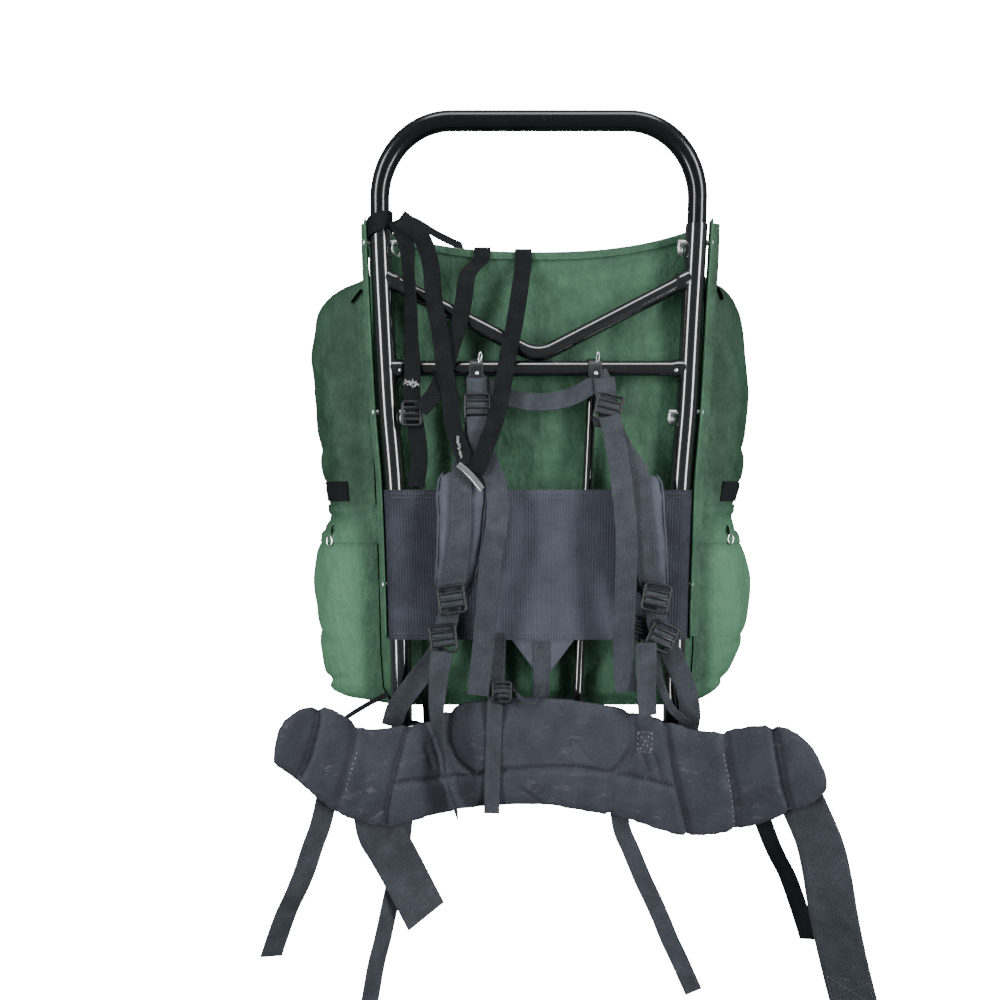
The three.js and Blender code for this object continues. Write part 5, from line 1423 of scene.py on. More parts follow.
# %% Hip belt cloth
def belt_grid(slim):
    """Rings round the belt's line: their height and thickness come from the table."""
    x = np.unique(np.concatenate([np.linspace(-1, 1, 150), -1 + np.geomspace(0.002, 0.06, 8),
                                  1 - np.geomspace(0.002, 0.06, 8)]))
    top = -BELT_DROP - BELT_HEIGHT * smooth_table(BELT_ROWS[:, 0], BELT_ROWS[:, 1], x)
    bottom = -BELT_DROP - BELT_HEIGHT * smooth_table(BELT_ROWS[:, 0], BELT_ROWS[:, 2], x)
    thick = np.interp(x, BELT_ROWS[:, 0], np.minimum(1, BELT_ROWS[:, 3] + 0.12)) * BELT_THICK / 2 * slim
    across = BELT_SHIFT + x * BELT_HALF
    slope = belt_slope(across)
    front = unit(stacked(slope, -np.ones_like(slope), 0 * slope))
    angle = np.linspace(0, 2 * np.pi, 57)[:-1]
    up = np.sign(np.cos(angle)) * np.abs(np.cos(angle)) ** 0.5
    out = np.sign(np.sin(angle)) * np.abs(np.sin(angle)) ** 0.8
    middle = (top + bottom) / 2
    tall = (top - bottom) / 2 - 0.6
    z = middle[:, None] + tall[:, None] * up
    centre = stacked(np.broadcast_to(across[:, None], z.shape),
                       np.broadcast_to(belt_depth(across)[:, None], z.shape), z)
    return centre + (thick[:, None] * out)[..., None] * front[:, None]


def build_belt():
    """The slim form is swollen, then each point moves in by the pull of its seam."""
    belt = make_mesh("belt_padded", skin(belt_grid(BELT_SLIM), "fan"))
    lines = seam_lines()

    def held(points):
        near_seam = ease(seam_depth(points, lines), 0.4, 3.0)
        across = (points[:, 0] - BELT_SHIFT) / BELT_HALF
        top = -BELT_DROP - BELT_HEIGHT * smooth_table(BELT_ROWS[:, 0], BELT_ROWS[:, 1], across)
        bottom = -BELT_DROP - BELT_HEIGHT * smooth_table(BELT_ROWS[:, 0], BELT_ROWS[:, 2], across)
        edge = np.minimum(top - points[:, 2], points[:, 2] - bottom)
        return np.maximum(near_seam, 1 - ease(edge, 1.0, 5.0))

    inflated(belt, BELT_CAP, held)

    def quilt(points, mesh):
        pull = seam_depth(points, lines)
        folds = 0.8 * ripples(points[:, 0], points[:, 2], 21, 34) * np.exp(-pull)
        return points - normals_of(mesh) * (pull * 1.15 + folds + 0.3)[:, None]

    move_points(belt, quilt)
    dress(belt, "belt_cloth", "hip_belt")
    return belt


belt = build_belt()
print("belt points:", len(belt.data.vertices))

# %% [markdown]
# Straps are sewn behind the belt and hang below it, each in the plane that touches the belt's back at
# its root. The two wide ones are the waist webbing, cut off below the belt as the photograph shows.

# %% Straps of the belt
def belt_standoff(root):
    """How far the belt's back stands out from the plane through its line at the root."""
    slope = belt_slope(root)
    back = -unit(np.array([slope, -1.0, 0.0]))
    x = BELT_SHIFT + BELT_ROWS[:, 0] * BELT_HALF
    near = np.abs(x - root) < 50
    x, thick = x[near], BELT_ROWS[near, 3]
    normal = unit(stacked(belt_slope(x), -np.ones_like(x), 0 * x))
    face = stacked(x, belt_depth(x), 0 * x) - normal * (thick * BELT_THICK / 2)[:, None]
    foot = np.array([root, float(belt_depth(root)), 0.0])
    return float(((face - foot) @ back).max())


def belt_strap(name, root, layer, follow, width, rows, slot="grey_webbing", turns=None):
    """A strap that starts behind the belt, in the plane that touches its back there."""
    slope = float(belt_slope(root))
    steep = 1 / np.hypot(slope, 1)
    lift = belt_standoff(root) + GAP + WEB / 2 + layer * (WEB + GAP)
    seat = float(belt_depth(root)) + lift / steep
    table = np.array([tuple(row) + (0,) * (3 - len(row)) for row in rows], float)
    x = table[:, 0] * HALF
    y = seat + slope * np.clip(x - root, -follow, follow) + table[:, 2] * REACH
    points = stacked(x, y, -table[:, 1] * HEIGHT)
    return strap(name, points, width, slot, across=unit(np.array([1.0, slope, 0.0])), turns=turns)


belt_strap("belt_strap_left_outer", -236, 0, 25, 25, [
    (-1.23, 0.99), (-1.26, 1.04), (-1.3, 1.09), (-1.34, 1.12), (-1.375, 1.15), (-1.42, 1.18),
    (-1.475, 1.21), (-1.525, 1.245), (-1.57, 1.28)])
belt_strap("waist_webbing_left", -180, 0, 25, 50, [
    (-1.02, 1.02), (-1.01, 1.07), (-0.985, 1.115), (-0.92, 1.15), (-0.83, 1.2), (-0.75, 1.24), (-0.7, 1.265)])
belt_strap("belt_strap_left_inner", -180, 1, 25, 21, [
    (-0.83, 1.03), (-0.835, 1.09), (-0.855, 1.15), (-0.905, 1.22, 0.03), (-0.945, 1.27, 0.03),
    (-0.97, 1.3, 0.03), (-1, 1.33, 0.03), (-1.04, 1.39, 0.03)])
belt_strap("belt_strap_right_inner", 98, 0, 25, 21, [
    (0.48, 1.02), (0.5, 1.08), (0.53, 1.135), (0.58, 1.165), (0.66, 1.215), (0.715, 1.245),
    (0.775, 1.28), (0.83, 1.315), (0.885, 1.345), (0.98, 1.4)])
belt_strap("waist_webbing_right", 280, -0.4, 25, 50, [
    (1.46, 1.02), (1.52, 1.06), (1.575, 1.1), (1.605, 1.14), (1.63, 1.19), (1.67, 1.245),
    (1.73, 1.31), (1.76, 1.34)])
belt_strap("belt_strap_right_outer", 240, 0, 4, 20, [
    (1.27, 1.02), (1.3, 1.07), (1.35, 1.11), (1.4, 1.14), (1.46, 1.17), (1.51, 1.205),
    (1.555, 1.24), (1.59, 1.27)], "black_webbing")

# %% [markdown]
# A triangular gusset hangs under the band and carries a short loop of webbing. The strap that holds the
# belt up comes from behind the band, passes through a small buckle and runs down the belt's front.

# %% Gusset and centre strap
GUSSET_DROP = 624.0
GUSSET_HALF = 37.0
GUSSET_TUCK = 14.0  # height of the strip that goes up behind the band
GUSSET_FOOT = 0.28  # share of the width that is left at the foot
LASH_WIDTH = 20.0


def build_gusset():
    """Sides that narrow to the foot, with a wave that grows toward it."""
    top = -BAND_BOTTOM + GUSSET_TUCK
    middle = 0.03 * HALF
    inner = float(frame_back(top)) - TUBE_RADIUS
    tuck = np.linspace(top, -BAND_BOTTOM, 6)[:-1]
    z = np.concatenate([tuck, np.linspace(-BAND_BOTTOM, -GUSSET_DROP, 16)])
    half = GUSSET_HALF * np.interp(-z, [BAND_BOTTOM, GUSSET_DROP], [1, GUSSET_FOOT])
    across = np.linspace(-1, 1, 21)[None]
    x = middle + half[:, None] * across
    wave = 1.2 * np.cos(across * np.pi * 1.5) * ease(-z, BAND_BOTTOM, GUSSET_DROP)[:, None]
    y = inner + wave
    zz = np.broadcast_to(z[:, None], x.shape)
    front = stacked(x, y, zz)
    back = stacked(x, y + BAND_WALL, zz)
    piece = make_mesh("gusset_cloth", sheet_skin(front, back), 60)
    dress(piece, "pad_cloth", "lumbar_gusset")
    return inner


gusset_depth = build_gusset()
on_gusset = gusset_depth - GAP - WEB / 2
foot = BAND_BOTTOM / HEIGHT
lumbar = points_of([(0.02, foot + 0.003, 0), (0.02, 0.85, 0), (0.02, 0.88, 0), (0.015, 0.935, 0)])
lumbar[:2, 1] = on_gusset
strap("lumbar_webbing", lumbar, LASH_WIDTH)
over_belt = (float(harness_depth(-BELT_DROP, 0)) - BELT_SEAT + BELT_THICK / 2 + WEB / 2 + GAP) / REACH
strap_rows("belt_centre_strap", [
    (-0.252, foot - 0.012, 0), (-0.256, 0.85, 0.02), (-0.263, 0.885, over_belt * 0.45),
    (-0.27, 0.912, over_belt * 0.95), (-0.276, 0.935, over_belt * 1.03), (-0.283, 0.985, over_belt * 1.02),
    (-0.295, 1.096, over_belt * 1.02)], 18.0)
print("centre strap stands out by, mm:", round(over_belt * REACH, 1))

# %% [markdown]
# Narrow black lash straps hang at the upper left: two come over the lid, and two off a wrap round the
# left tube. One ends in a small steel hook.

# %% Lash straps
def over_lid(x):
    """Four places from the lid's top over its edge and down before the bag."""
    lift = 4 * GAP + WEB
    edge = BAG_BACK - 2 * GAP - LID_WALL - lift
    y = np.array([edge, BAG_BACK + BAG_DEPTH * 0.08, BAG_BACK + BAG_DEPTH * 0.3])
    z = -BAG_TOP + rim_lift(x, y) + 2 * GAP + LID_WALL + LID_CROWN * np.array([0, 0.6, 1]) + lift
    first = stacked(np.full(3, x), y, z)[::-1]
    return np.vstack([first, [x, edge - lift / 2, z[0] - 2 * LID_BACK_SKIRT]])


def build_lash():
    """The wrap is a tilted ring of webbing, and the four straps are laid from tables."""
    wrap_z, tilt = -TUBE_TOP - 2, 5.0
    radius = TUBE_RADIUS + 4 * GAP + WEB / 2
    angle = np.linspace(0, 2 * np.pi, 49)[:-1]
    z = wrap_z + tilt * np.cos(angle)
    x = radius * np.cos(angle) - tube_half(z)
    loop = stacked(x, frame_back(z) + radius * np.sin(angle), z)
    ends = [np.array([0, frame_back(wrap_z + s * tilt), s * tilt]) for s in (1, -1)]
    axis = unit(ends[0] - ends[1])
    section = strip_section(LASH_WIDTH, WEB)
    along = unit(np.roll(loop, -1, 0) - np.roll(loop, 1, 0))
    wide = unit(axis - along * (along @ axis)[:, None])
    deep = np.cross(along, wide)
    grid = loop[:, None] + section[None, :, :1] * wide[:, None] + section[None, :, 1:] * deep[:, None]
    uv = stacked((angle * radius * MM)[:, None], section[None, :, 0] * MM)
    dress(make_mesh("web_lash_wrap", skin(grid, "loop", uv), 50), "black_webbing", "lash_wrap")
    strap_rows("lash_strap_outer", [
        (-0.885, 0.14, 0.03), (-0.825, 0.18, 0.05, 20), (-0.815, 0.22, 0.06, 40), (-0.805, 0.265, 0.06, 40),
        (-0.8, 0.33, 0.06, 30), (-0.795, 0.385, 0.04, 8), (-0.8, 0.42, 0.01), (-0.79, 0.45, 0),
        (-0.77, 0.48, 0), (-0.755, 0.52, 0), (-0.775, 0.57, 0)], LASH_WIDTH, "black_webbing")
    strap_rows("lash_strap_long", [
        (-0.86, 0.14, 0.1), (-0.74, 0.165, 0.1), (-0.68, 0.205, 0.07), (-0.655, 0.27, 0.05),
        (-0.615, 0.325, 0.06), (-0.59, 0.38, 0.08), (-0.56, 0.415, 0.09), (-0.54, 0.465, 0.12),
        (-0.5, 0.5, 0.18), (-0.44, 0.535, 0.25)], LASH_WIDTH, "black_webbing")
    inner = points_of([(-0.45, 0.225, 0), (-0.47, 0.26, 0), (-0.5, 0.3, 0), (-0.555, 0.345, 0.02),
                       (-0.6, 0.385, 0.03), (-0.66, 0.42, 0.065), (-0.745, 0.445, 0.09)])
    strap("lash_strap_inner", np.vstack([over_lid(-0.36 * HALF), inner]), LASH_WIDTH, "black_webbing")
    middle = points_of([(-0.12, 0.25, 0), (-0.16, 0.315, 0.02), (-0.2, 0.365, 0.06), (-0.23, 0.415, 0.12),
                        (-0.27, 0.46, 0.17), (-0.33, 0.505, 0.24), (-0.395, 0.548, 0.275)])
    strap("lash_strap_middle", np.vstack([over_lid(-0.09 * HALF), middle]), LASH_WIDTH, "black_webbing")


build_lash()
print("lash straps:", [name for name in LAID if name.startswith("lash")])

# %% [markdown]
# The hook at the end of the two longer lash straps is bent from flat steel. It is the same flat section
# as webbing, narrower and thicker, carried along a short bend.

# %% Hook
HOOK_WIDTH = 7.0
HOOK_THICK = 2.0


def build_hook():
    """A flat section along a short bend through three places."""
    path = route(points_of([(-0.5, 0.535, 0.295), (-0.43, 0.55, 0.3), (-0.35, 0.575, 0.33)]))
    section = strip_section(HOOK_WIDTH, HOOK_THICK, 6)
    grid = sweep(evenly(path, 1.5)[0], section, ACROSS)
    dress(make_mesh("hook_steel", skin(grid, "fan")), "pin_steel", "lash_hook")


build_hook()

# %% [markdown]
# A ladder-lock is a moulded frame of round bars with slots between them. The webbing goes up through one
# slot and down through the next, so two short humps of it show in front of the bars.

# %% Moulded rings and bars
def tilted_axes(tilt):
    """Wide, out and up directions of a small part that faces the camera, turned by some degrees."""
    angle = np.radians(tilt)
    wide = np.array([np.cos(angle), 0, -np.sin(angle)])
    up = np.array([np.sin(angle), 0, np.cos(angle)])
    return wide, np.array([0, -1.0, 0]), up


def rounded_box_path(width, height, radius, count=48):
    """A closed line with round corners: a circle pushed out toward a rectangle's corners."""
    turn = np.linspace(0, 2 * np.pi, count, endpoint=False) + 0.01
    quarter = np.floor(turn / (np.pi / 2)) % 4
    cx = np.where((quarter == 0) | (quarter == 3), 1, -1) * (width / 2 - radius)
    cy = np.where(quarter < 2, 1, -1) * (height / 2 - radius)
    return stacked(cx + radius * np.cos(turn), cy + radius * np.sin(turn))


def ring_skin(centre, axes, outline, half_wide, half_deep, count):
    """A moulded ring: a flat closed outline in the part's own plane, with an oval section carried round
    it. The section's wide side lies square to the outline."""
    wide, out, up = axes
    path = centre + outline[:, :1] * wide + outline[:, 1:] * up
    side = np.cross(unit(np.roll(path, -1, 0) - np.roll(path, 1, 0)), out)
    section = circle(count) * (half_wide, half_deep)
    grid = path[:, None] + section[None, :, :1] * side[:, None] + section[None, :, 1:] * out
    return skin(grid, "loop")


def bar_skin(centre, axes, start, end, half_wide, half_deep, bow=0.0):
    """A moulded bar from start to end in the lock's own plane, its section a flat oval, bowed forward."""
    wide, out, up = axes
    t = np.linspace(0, 1, 13)
    flat = np.array(start) + (np.array(end) - np.array(start)) * t[:, None]
    path = centre + flat[:, :1] * wide + flat[:, 1:] * up + (bow * np.sin(np.pi * t))[:, None] * out
    section = circle(14) * (half_deep, half_wide)
    return skin(sweep(path, section, out), "fan")


print("points of a ring:", len(rounded_box_path(30.0, 31.0, 4.0)))

# %% [markdown]
# Each ladder-lock takes its place from the box of its CAD node. Three bars cross its ring, and the upper
# ones also have a ribbed tab below.

# %% Ladder-locks
LOCK_RIM = 1.7
LOCK_CORNER = 4.0
LOCK_HALF_DEEP = 1.9
TAB_RIBS = 3


def build_lock(node, tilt, width, height, web="grey_webbing", tab=0.0):
    """A ring with three bars, a ribbed tab where there is one, and two humps of webbing."""
    low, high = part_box(node)
    centre = (np.array(low) + np.array(high)) / 2 / MM
    axes = wide, out, up = tilted_axes(tilt)
    outline = rounded_box_path(width - 2 * LOCK_RIM, height - 2 * LOCK_RIM, LOCK_CORNER)
    shells = [ring_skin(centre, axes, outline, 1.75, LOCK_HALF_DEEP, 12)]
    reach = width / 2 - 1.5
    levels = np.array([-0.5, 0, 0.5]) * (height / 2 - LOCK_RIM)
    for k, level in enumerate(levels):
        bow = 1.4 if k % 2 == 1 else 0.5
        shells.append(bar_skin(centre, axes, (-reach, level), (reach, level), 1.9, 1.5, bow))
    for k in range(TAB_RIBS if tab else 0):
        drop = -height / 2 - k * tab / TAB_RIBS - 0.6
        rib = reach * (1 - 0.09 * k)
        shells.append(bar_skin(centre, axes, (-rib, drop), (rib, drop), 2.0, 1.2, 0.8))
    dress(make_mesh(f"lock_{node}", joined(*shells)), "buckle_plastic", node)
    humps = []
    t = np.linspace(-1, 1, 15)[:, None]
    for level in (levels[:-1] + levels[1:]) / 2:
        line = centre + (level + t * height * 0.13) * up + (1.3 * np.cos(t * 1.4) - 0.6) * out
        humps.append(strip_skin(line, width - 8.0, 1.2, wide, step=1.0))
    dress(make_mesh(f"hump_{node}", joined(*humps)), web)


LOCK_TILTS = {"upper_left": 0, "upper_right": 14, "middle_left": -8, "middle_right": 12,
              "end_left": -6, "end_right": 24}
for place, tilt in LOCK_TILTS.items():
    build_lock(f"ladder_lock_{place}", tilt, 33.0, 34.0, tab=8.0 if "upper" in place else 0.0)
build_lock("belt_centre_lock", 0, 24.0, 26.0)
build_lock("lash_lock", 0, 25.0, 31.0, web="black_webbing")
print("ladder-locks:", len(LOCK_TILTS) + 2)

# %% [markdown]
# Cloth edges beside the side tubes are piped: a cord is sewn into the fold, so the edge is a thin bead.
# The pins hold these edges to the tubes. Straps close the upper pockets at their lower ends.

# %% Flanges and pocket straps
FLANGE_TOP = 94.0
FLANGE_BOTTOM = 588.0
FLANGE_WALL = 1.6
FLANGE_SEAT = TUBE_RADIUS + BAND_WALL + 5 * GAP
CLOSER_TOP = 0.8344  # shares of the upper pocket's height
CLOSER_BOTTOM = 0.916
CLOSER_LIFT = 1.0


def build_flanges():
    """A strip of cloth beside each tube: straight at its seat, then out to the bag, swaying a
    little, with a bead of piping at its edge."""
    z = -np.linspace(FLANGE_TOP, FLANGE_BOTTOM, 90)
    for hand, sign, reach in (("left", -1, 24.0), ("right", 1, 30.0)):
        knots = np.array([-0.5, 0.48, 0.8, 1.0])
        spread = np.array([FLANGE_SEAT, FLANGE_SEAT, FLANGE_SEAT + (reach - FLANGE_SEAT) * 0.35, reach])
        share = np.linspace(-0.5, 1, 14)
        out = np.interp(share, knots, spread)
        room = BAG_BACK - GAP - FLANGE_WALL - frame_back(z)
        depth = np.where(share > 0, share * np.minimum(room, TUBE_RADIUS)[:, None], share * TUBE_RADIUS)
        sway = 0.8 * np.sin(z / 31.0)[:, None] * (out - FLANGE_SEAT) / 10
        x = tube_half(z)[:, None] + out + np.abs(sway)
        y = frame_back(z)[:, None] + depth
        push = np.where(share < 0.6, 1.0, 0.3)
        pull = np.where(share < 0.6, 0.0, 1.0)
        zz = np.broadcast_to(z[:, None], x.shape)
        inner = stacked(sign * x, y, zz)
        outer = stacked(sign * (x + FLANGE_WALL * push), y - FLANGE_WALL * pull, zz)
        piece = make_mesh(f"flange_cloth_{hand}", sheet_skin(outer, inner), 60)
        dress(piece, "bag_cloth", f"flange_{hand}")
        bead = (inner[:, 0] + outer[:, 0]) / 2 + (0, -1.0, 0)
        pipe = rod_skin(evenly(bead, 4.0)[0], 1.5, count=10, round_end=2.0)
        dress(make_mesh(f"flange_piping_{hand}", pipe), "bag_cloth")


def build_pocket_straps():
    """A strip on the upper pocket's own surface, lifted outward."""
    across = np.linspace((1 - np.cos(np.pi / 8)) / 2, (1 - np.cos(5 * np.pi / 8)) / 2, 40)[:, None]
    down = np.linspace(CLOSER_TOP, CLOSER_BOTTOM, 12)[None]
    for hand, sign in (("left", -1), ("right", 1)):
        base = pocket_grid("upper", hand, 0.0, across, down)
        along = unit(np.gradient(base, axis=0))
        outward = unit(stacked(sign * along[..., 1], -sign * along[..., 0], 0 * along[..., 0]))
        front = base + outward * (CLOSER_LIFT + WEB)
        back = base + outward * CLOSER_LIFT
        length = lengths(base[:, 5])
        uv = stacked(length[:, None] * MM, down * 0.3)
        piece = make_mesh(f"pocket_closer_{hand}", sheet_skin(front, back, uv), 60)
        dress(piece, "black_webbing", f"pocket_strap_{hand}")


build_flanges()
build_pocket_straps()
print("flanges' height, mm:", FLANGE_BOTTOM - FLANGE_TOP)

# %% [markdown]
# Small things finish the pack: stitching, sewn patches, saddles over the crossbar, wire pins, rivets,
# and the threads that have frayed from cut ends. Most are placed by a pixel of the photograph, and sit
# on the surface that the camera's ray meets there.

# %% Rays to a surface
def surface(piece):
    """A search tree of the piece's faces, in millimetres."""
    points = mesh_points(piece.data) / MM
    return BVHTree.FromPolygons(points.tolist(), [tuple(face.vertices) for face in piece.data.polygons])


def struck(tree, pixels, depth=0.0):
    """Where the camera's ray through each pixel meets a surface, and the way out of it there. A ray
    that misses takes the nearest place to its own point at the given depth."""
    pixels = np.asarray(pixels, float)
    target = seen_at(pixels[:, 0], pixels[:, 1], depth)
    rays = unit(target - CAMERA)
    hits = [tree.ray_cast(Vector(CAMERA), Vector(ray)) for ray in rays]
    hits = [hit if hit[0] is not None else tree.find_nearest(Vector(p)) for hit, p in zip(hits, target)]
    place = np.array([hit[0][:] for hit in hits])
    out = np.array([hit[1][:] for hit in hits])
    return place, out * -np.sign(np.sum(out * rays, axis=1, keepdims=True))


def fine_line(pixels, step=1.5):
    """A line of pixels at equal steps through the given ones."""
    flat = np.asarray(pixels, float)
    return evenly(np.column_stack([flat, np.zeros(len(flat))]), step)[0][:, :2]


print("steps in a line of 30 pixels:", len(fine_line([(0, 0), (30, 0)])))

# %% [markdown]
# Stitches are short round threads that arch between their holes. A texture of dashes would lie flat and
# catch no light. On a strap they follow its own length and width.

# %% Threads on cloth and straps
def thread(name, lines, slot, finish="pale_thread", dash=2.6, gap=1.7, radius=0.34):
    """Running stitches. Each line is a path and its outward directions, cut into dashes that arch up
    a little between the holes."""
    shells = []
    t = np.linspace(0, 1, 5)
    for path, out in lines:
        length = lengths(path)
        for start in np.arange(0.4, length[-1] - dash * 0.6, dash + gap):
            at = start + dash * t
            away = unit(rows_at(at, length, out))
            arch = rows_at(at, length, path) + away * (0.05 + 0.35 * np.sin(np.pi * t))[:, None]
            shells.append(rod_skin(arch, radius, away, count=5))
    piece = make_mesh(name, joined(*shells), 80)
    return dress(piece, slot, finish=finish)


def on_strap(name, lines, lift=WEB / 2):
    """Lines given along and across a strap, in millimetres, as paths on its front."""
    points, across = LAID[name]
    path = route(points)
    _, wide, deep = axes_along(path, across)
    front = np.where(deep[:, 1:2] < 0, deep, -deep)
    length = lengths(path)
    made = []
    for line in lines:
        flat = fine_line(line, 1.0)
        at = flat[:, 0] % length[-1]
        place, side, out = (rows_at(at, length, rows) for rows in (path, wide, front))
        made.append((place + side * flat[:, 1:] + out * lift, out))
    return made


def cross_box(start, long, half):
    """A sewn box with both diagonals, in millimetres along and across a strap."""
    a, b = start, start + long
    return [[(a, -half), (b, -half), (b, half), (a, half), (a, -half)], [(a, -half), (b, half)],
            [(a, half), (b, -half)]]


def patch(name, strap_name, start, long, half, slot):
    """A second layer of webbing sewn over part of a strap."""
    line, out = on_strap(strap_name, [[(start, 0), (start + long, 0)]], WEB / 2 + 0.9)[0]
    piece = make_mesh(name, strip_skin(line, 2 * half, 1.2, LAID[strap_name][1], step=2.0), 50)
    dress(piece, slot)


def len_of(name):
    """The length of a laid strap along its route."""
    return float(lengths(route(LAID[name][0]))[-1])


print("left pad's webbing, mm:", round(len_of("pad_webbing_left")))

# %% [markdown]
# The band has two rows of grey stitches along each edge, and the belt's seams are sewn in pale and in
# grey. A box with a cross holds the ends of the wide webbings and the patches on the pads.

# %% Stitching
BAND_STITCHES = (493.5, 497.5, 633.5, 637)
BELT_STITCHES = {
    "pale": [[(357, 752), (351, 772), (345.5, 792)],
             [(723.5, 754), (728, 776), (731.5, 798), (735, 836)],
             [(638, 732), (652, 732), (652, 752), (638, 752), (638, 732)],
             [(638, 732), (652, 752)],
             [(652, 732), (638, 752)]],
    "grey": [[(679, 786), (686, 812), (692, 838)],
             [(406, 733), (398, 757), (391, 782), (383, 826)],
             [(396, 781), (430, 777), (460, 774), (501, 768), (547, 765.5), (582, 766), (619, 772.5),
              (674, 784)]],
}


def build_stitching():
    """Stitches by pixels on band and belt, and by length and width on straps."""
    band = surface(bpy.data.objects["band_woven"])
    rows = [struck(band, fine_line([(391, y), (686, y)], 3.0)) for y in BAND_STITCHES]
    thread("stitch_band", rows, "band_cloth", "grey_thread", dash=2.2, gap=1.6)
    belt_face = surface(belt)
    for name, seams in BELT_STITCHES.items():
        lines = [struck(belt_face, fine_line(seam), -10) for seam in seams]
        thread(f"stitch_belt_{name}", lines, "belt_cloth", f"{name}_thread", dash=1.8, gap=3.8, radius=0.26)
    for hand in ("left", "right"):
        name = f"pad_webbing_{hand}"
        length = len_of(name)
        patch(f"patch_pad_{hand}", name, length - 46, 24, 11.6, "grey_webbing")
        lines = on_strap(name, cross_box(length - 44.5, 21, 10), WEB / 2 + 1.5)
        thread(f"stitch_patch_{hand}", lines, "grey_webbing", "grey_thread")
        edges = on_strap(name, [[(70, side * 10.4), (length - 60, side * 10.4)] for side in (-1, 1)])
        thread(f"stitch_pad_{hand}", edges, "grey_webbing", "grey_thread")
        wide_web = f"waist_webbing_{hand}"
        lines = on_strap(wide_web, cross_box(len_of(wide_web) - 34, 24, 21))
        thread(f"stitch_waist_{hand}", lines, "grey_webbing", "grey_thread")
    lines = on_strap("lumbar_webbing", cross_box(5, 16, 7))
    thread("stitch_lumbar", lines, "grey_webbing", "grey_thread")


build_stitching()
print("belt stitches:", {name: len(seams) for name, seams in BELT_STITCHES.items()})

# %% [markdown]
# Saddles of dark plastic sit over the crossbar where the yoke and the uprights meet it. Each has a
# bright rivet, and a bent wire pin stands behind it.

# %% Saddles, rivets and wire pins
def rivet(centre, out, radius=2.2, height=1.1):
    """A domed head whose profile is turned about its outward direction."""
    out = unit(np.asarray(out, float))
    profile = np.array([(-0.6, 0.9), (0, 1.0), (0.35, 0.95), (0.75, 0.65), (1.0, 0.15)])
    path = np.asarray(centre, float) + out * (profile[:, :1] * height)
    side = unit(np.cross(out, (0.3, 0.2, 1.0)))
    ring = circle(16, radius)
    grid = path[:, None] + profile[:, 1, None, None] * (
        ring[None, :, :1] * side + ring[None, :, 1:] * np.cross(out, side))
    return skin(grid, "fan")


SADDLE_WRAP = np.array([(10.6, -2), (9.2, 5.4), (4.5, 9.8), (-2, 10.9), (-8, 8.4), (-11.3, 3), (-12.2, -4),
                        (-12.2, -12)])
WIRE_LOOP = np.array([(-1.2, -10.4, 4), (-1.6, -9.5, 10), (-1.0, -8, 16), (0.6, -7, 18.5), (1.8, -8, 15),
                      (1.2, -9, 9), (0.8, -10.6, 3)])


def build_saddles():
    """A strip bent over the crossbar, with its rivet, and a bent wire behind it."""
    depth = float(frame_back(-UPPER_BAR))
    rivets, wires = [], []
    for name, px, wire_px in (("left", 476.5, 480), ("right", 594, 598)):
        x = float(seen_at(px, 380, depth)[0])
        path = SADDLE_WRAP @ np.eye(3)[1:] + (x, depth, -UPPER_BAR)
        saddle = make_mesh(f"saddle_{name}", strip_skin(route(path), 16.0, WEB, ACROSS, step=1.5), 50)
        dress(saddle, "buckle_plastic")
        rivets.append(rivet((x + 1, depth - 12.9, -UPPER_BAR - 7.5), (0, -1, 0)))
        wx = float(seen_at(wire_px, 358, depth - 10)[0])
        wire = evenly(route(WIRE_LOOP + (wx, depth, -UPPER_BAR)), 1.0)[0]
        wires.append(rod_skin(wire, 0.55, count=8, round_end=0.6))
    for side in (-1, 1):
        z = VERTEX + VEE_RISE - 6.5
        brace = (side * 170.5, frame_back(z) - BRACE_RADIUS - 0.2, z)
        rivets.append(rivet(brace, (side * -0.2, -1, 0), 2.6))
        bar = (side * (tube_half(-UPPER_BAR) - TUBE_RADIUS - 5), depth - BRACE_RADIUS - 1.0, -UPPER_BAR - 4)
        rivets.append(rivet(bar, (0, -1, -0.35), 2.4))
    dress(make_mesh("rivets_steel", joined(*rivets)), "pin_steel")
    dress(make_mesh("wire_pins", joined(*wires)), "pin_steel")


build_saddles()
print("strip of a saddle, mm:", round(lengths(SADDLE_WRAP)[-1], 1))

# %% [markdown]
# Each lower pocket has a short flap over its mouth. It is worked out from both pockets' own surfaces and
# lies just off them, with its edge tucked in. A short black tab holds a small steel ring.

# %% Pocket flaps, tabs and rings
FLAP_TOP = 429.0
FLAP_BOTTOM = 476.0
FLAP_LIFT = 1.0
FLAP_TUCK = 2.6


def flap_grid(hand, lift, across, z):
    """The flap's side: it lies on the upper pocket above the gap and on the lower one below it, and
    passes smoothly from one to the other."""
    above, below = ((-z - pocket["drop"]) / pocket["height"] for pocket in POCKETS.values())
    upper = pocket_grid("upper", hand, 0.0, across, np.minimum(above, 0.972))
    lower = pocket_grid("lower", hand, 0.0, across, np.maximum(below, 0.035))
    share = ease(-z, 445, 459)
    x = upper[..., 0] * (1 - share) + lower[..., 0] * share
    sign = -1 if hand == "left" else 1
    profile = rounded(across)
    y = BAG_BACK + POCKET_SETBACK + POCKET_DEPTH * across - (lift + FLAP_LIFT) * (1 - profile)
    stand = (lift + FLAP_LIFT) * np.minimum(1, 3 * profile) - FLAP_TUCK * np.maximum(0, 1 - 6 * profile)
    return stacked(x + sign * stand, y, z)


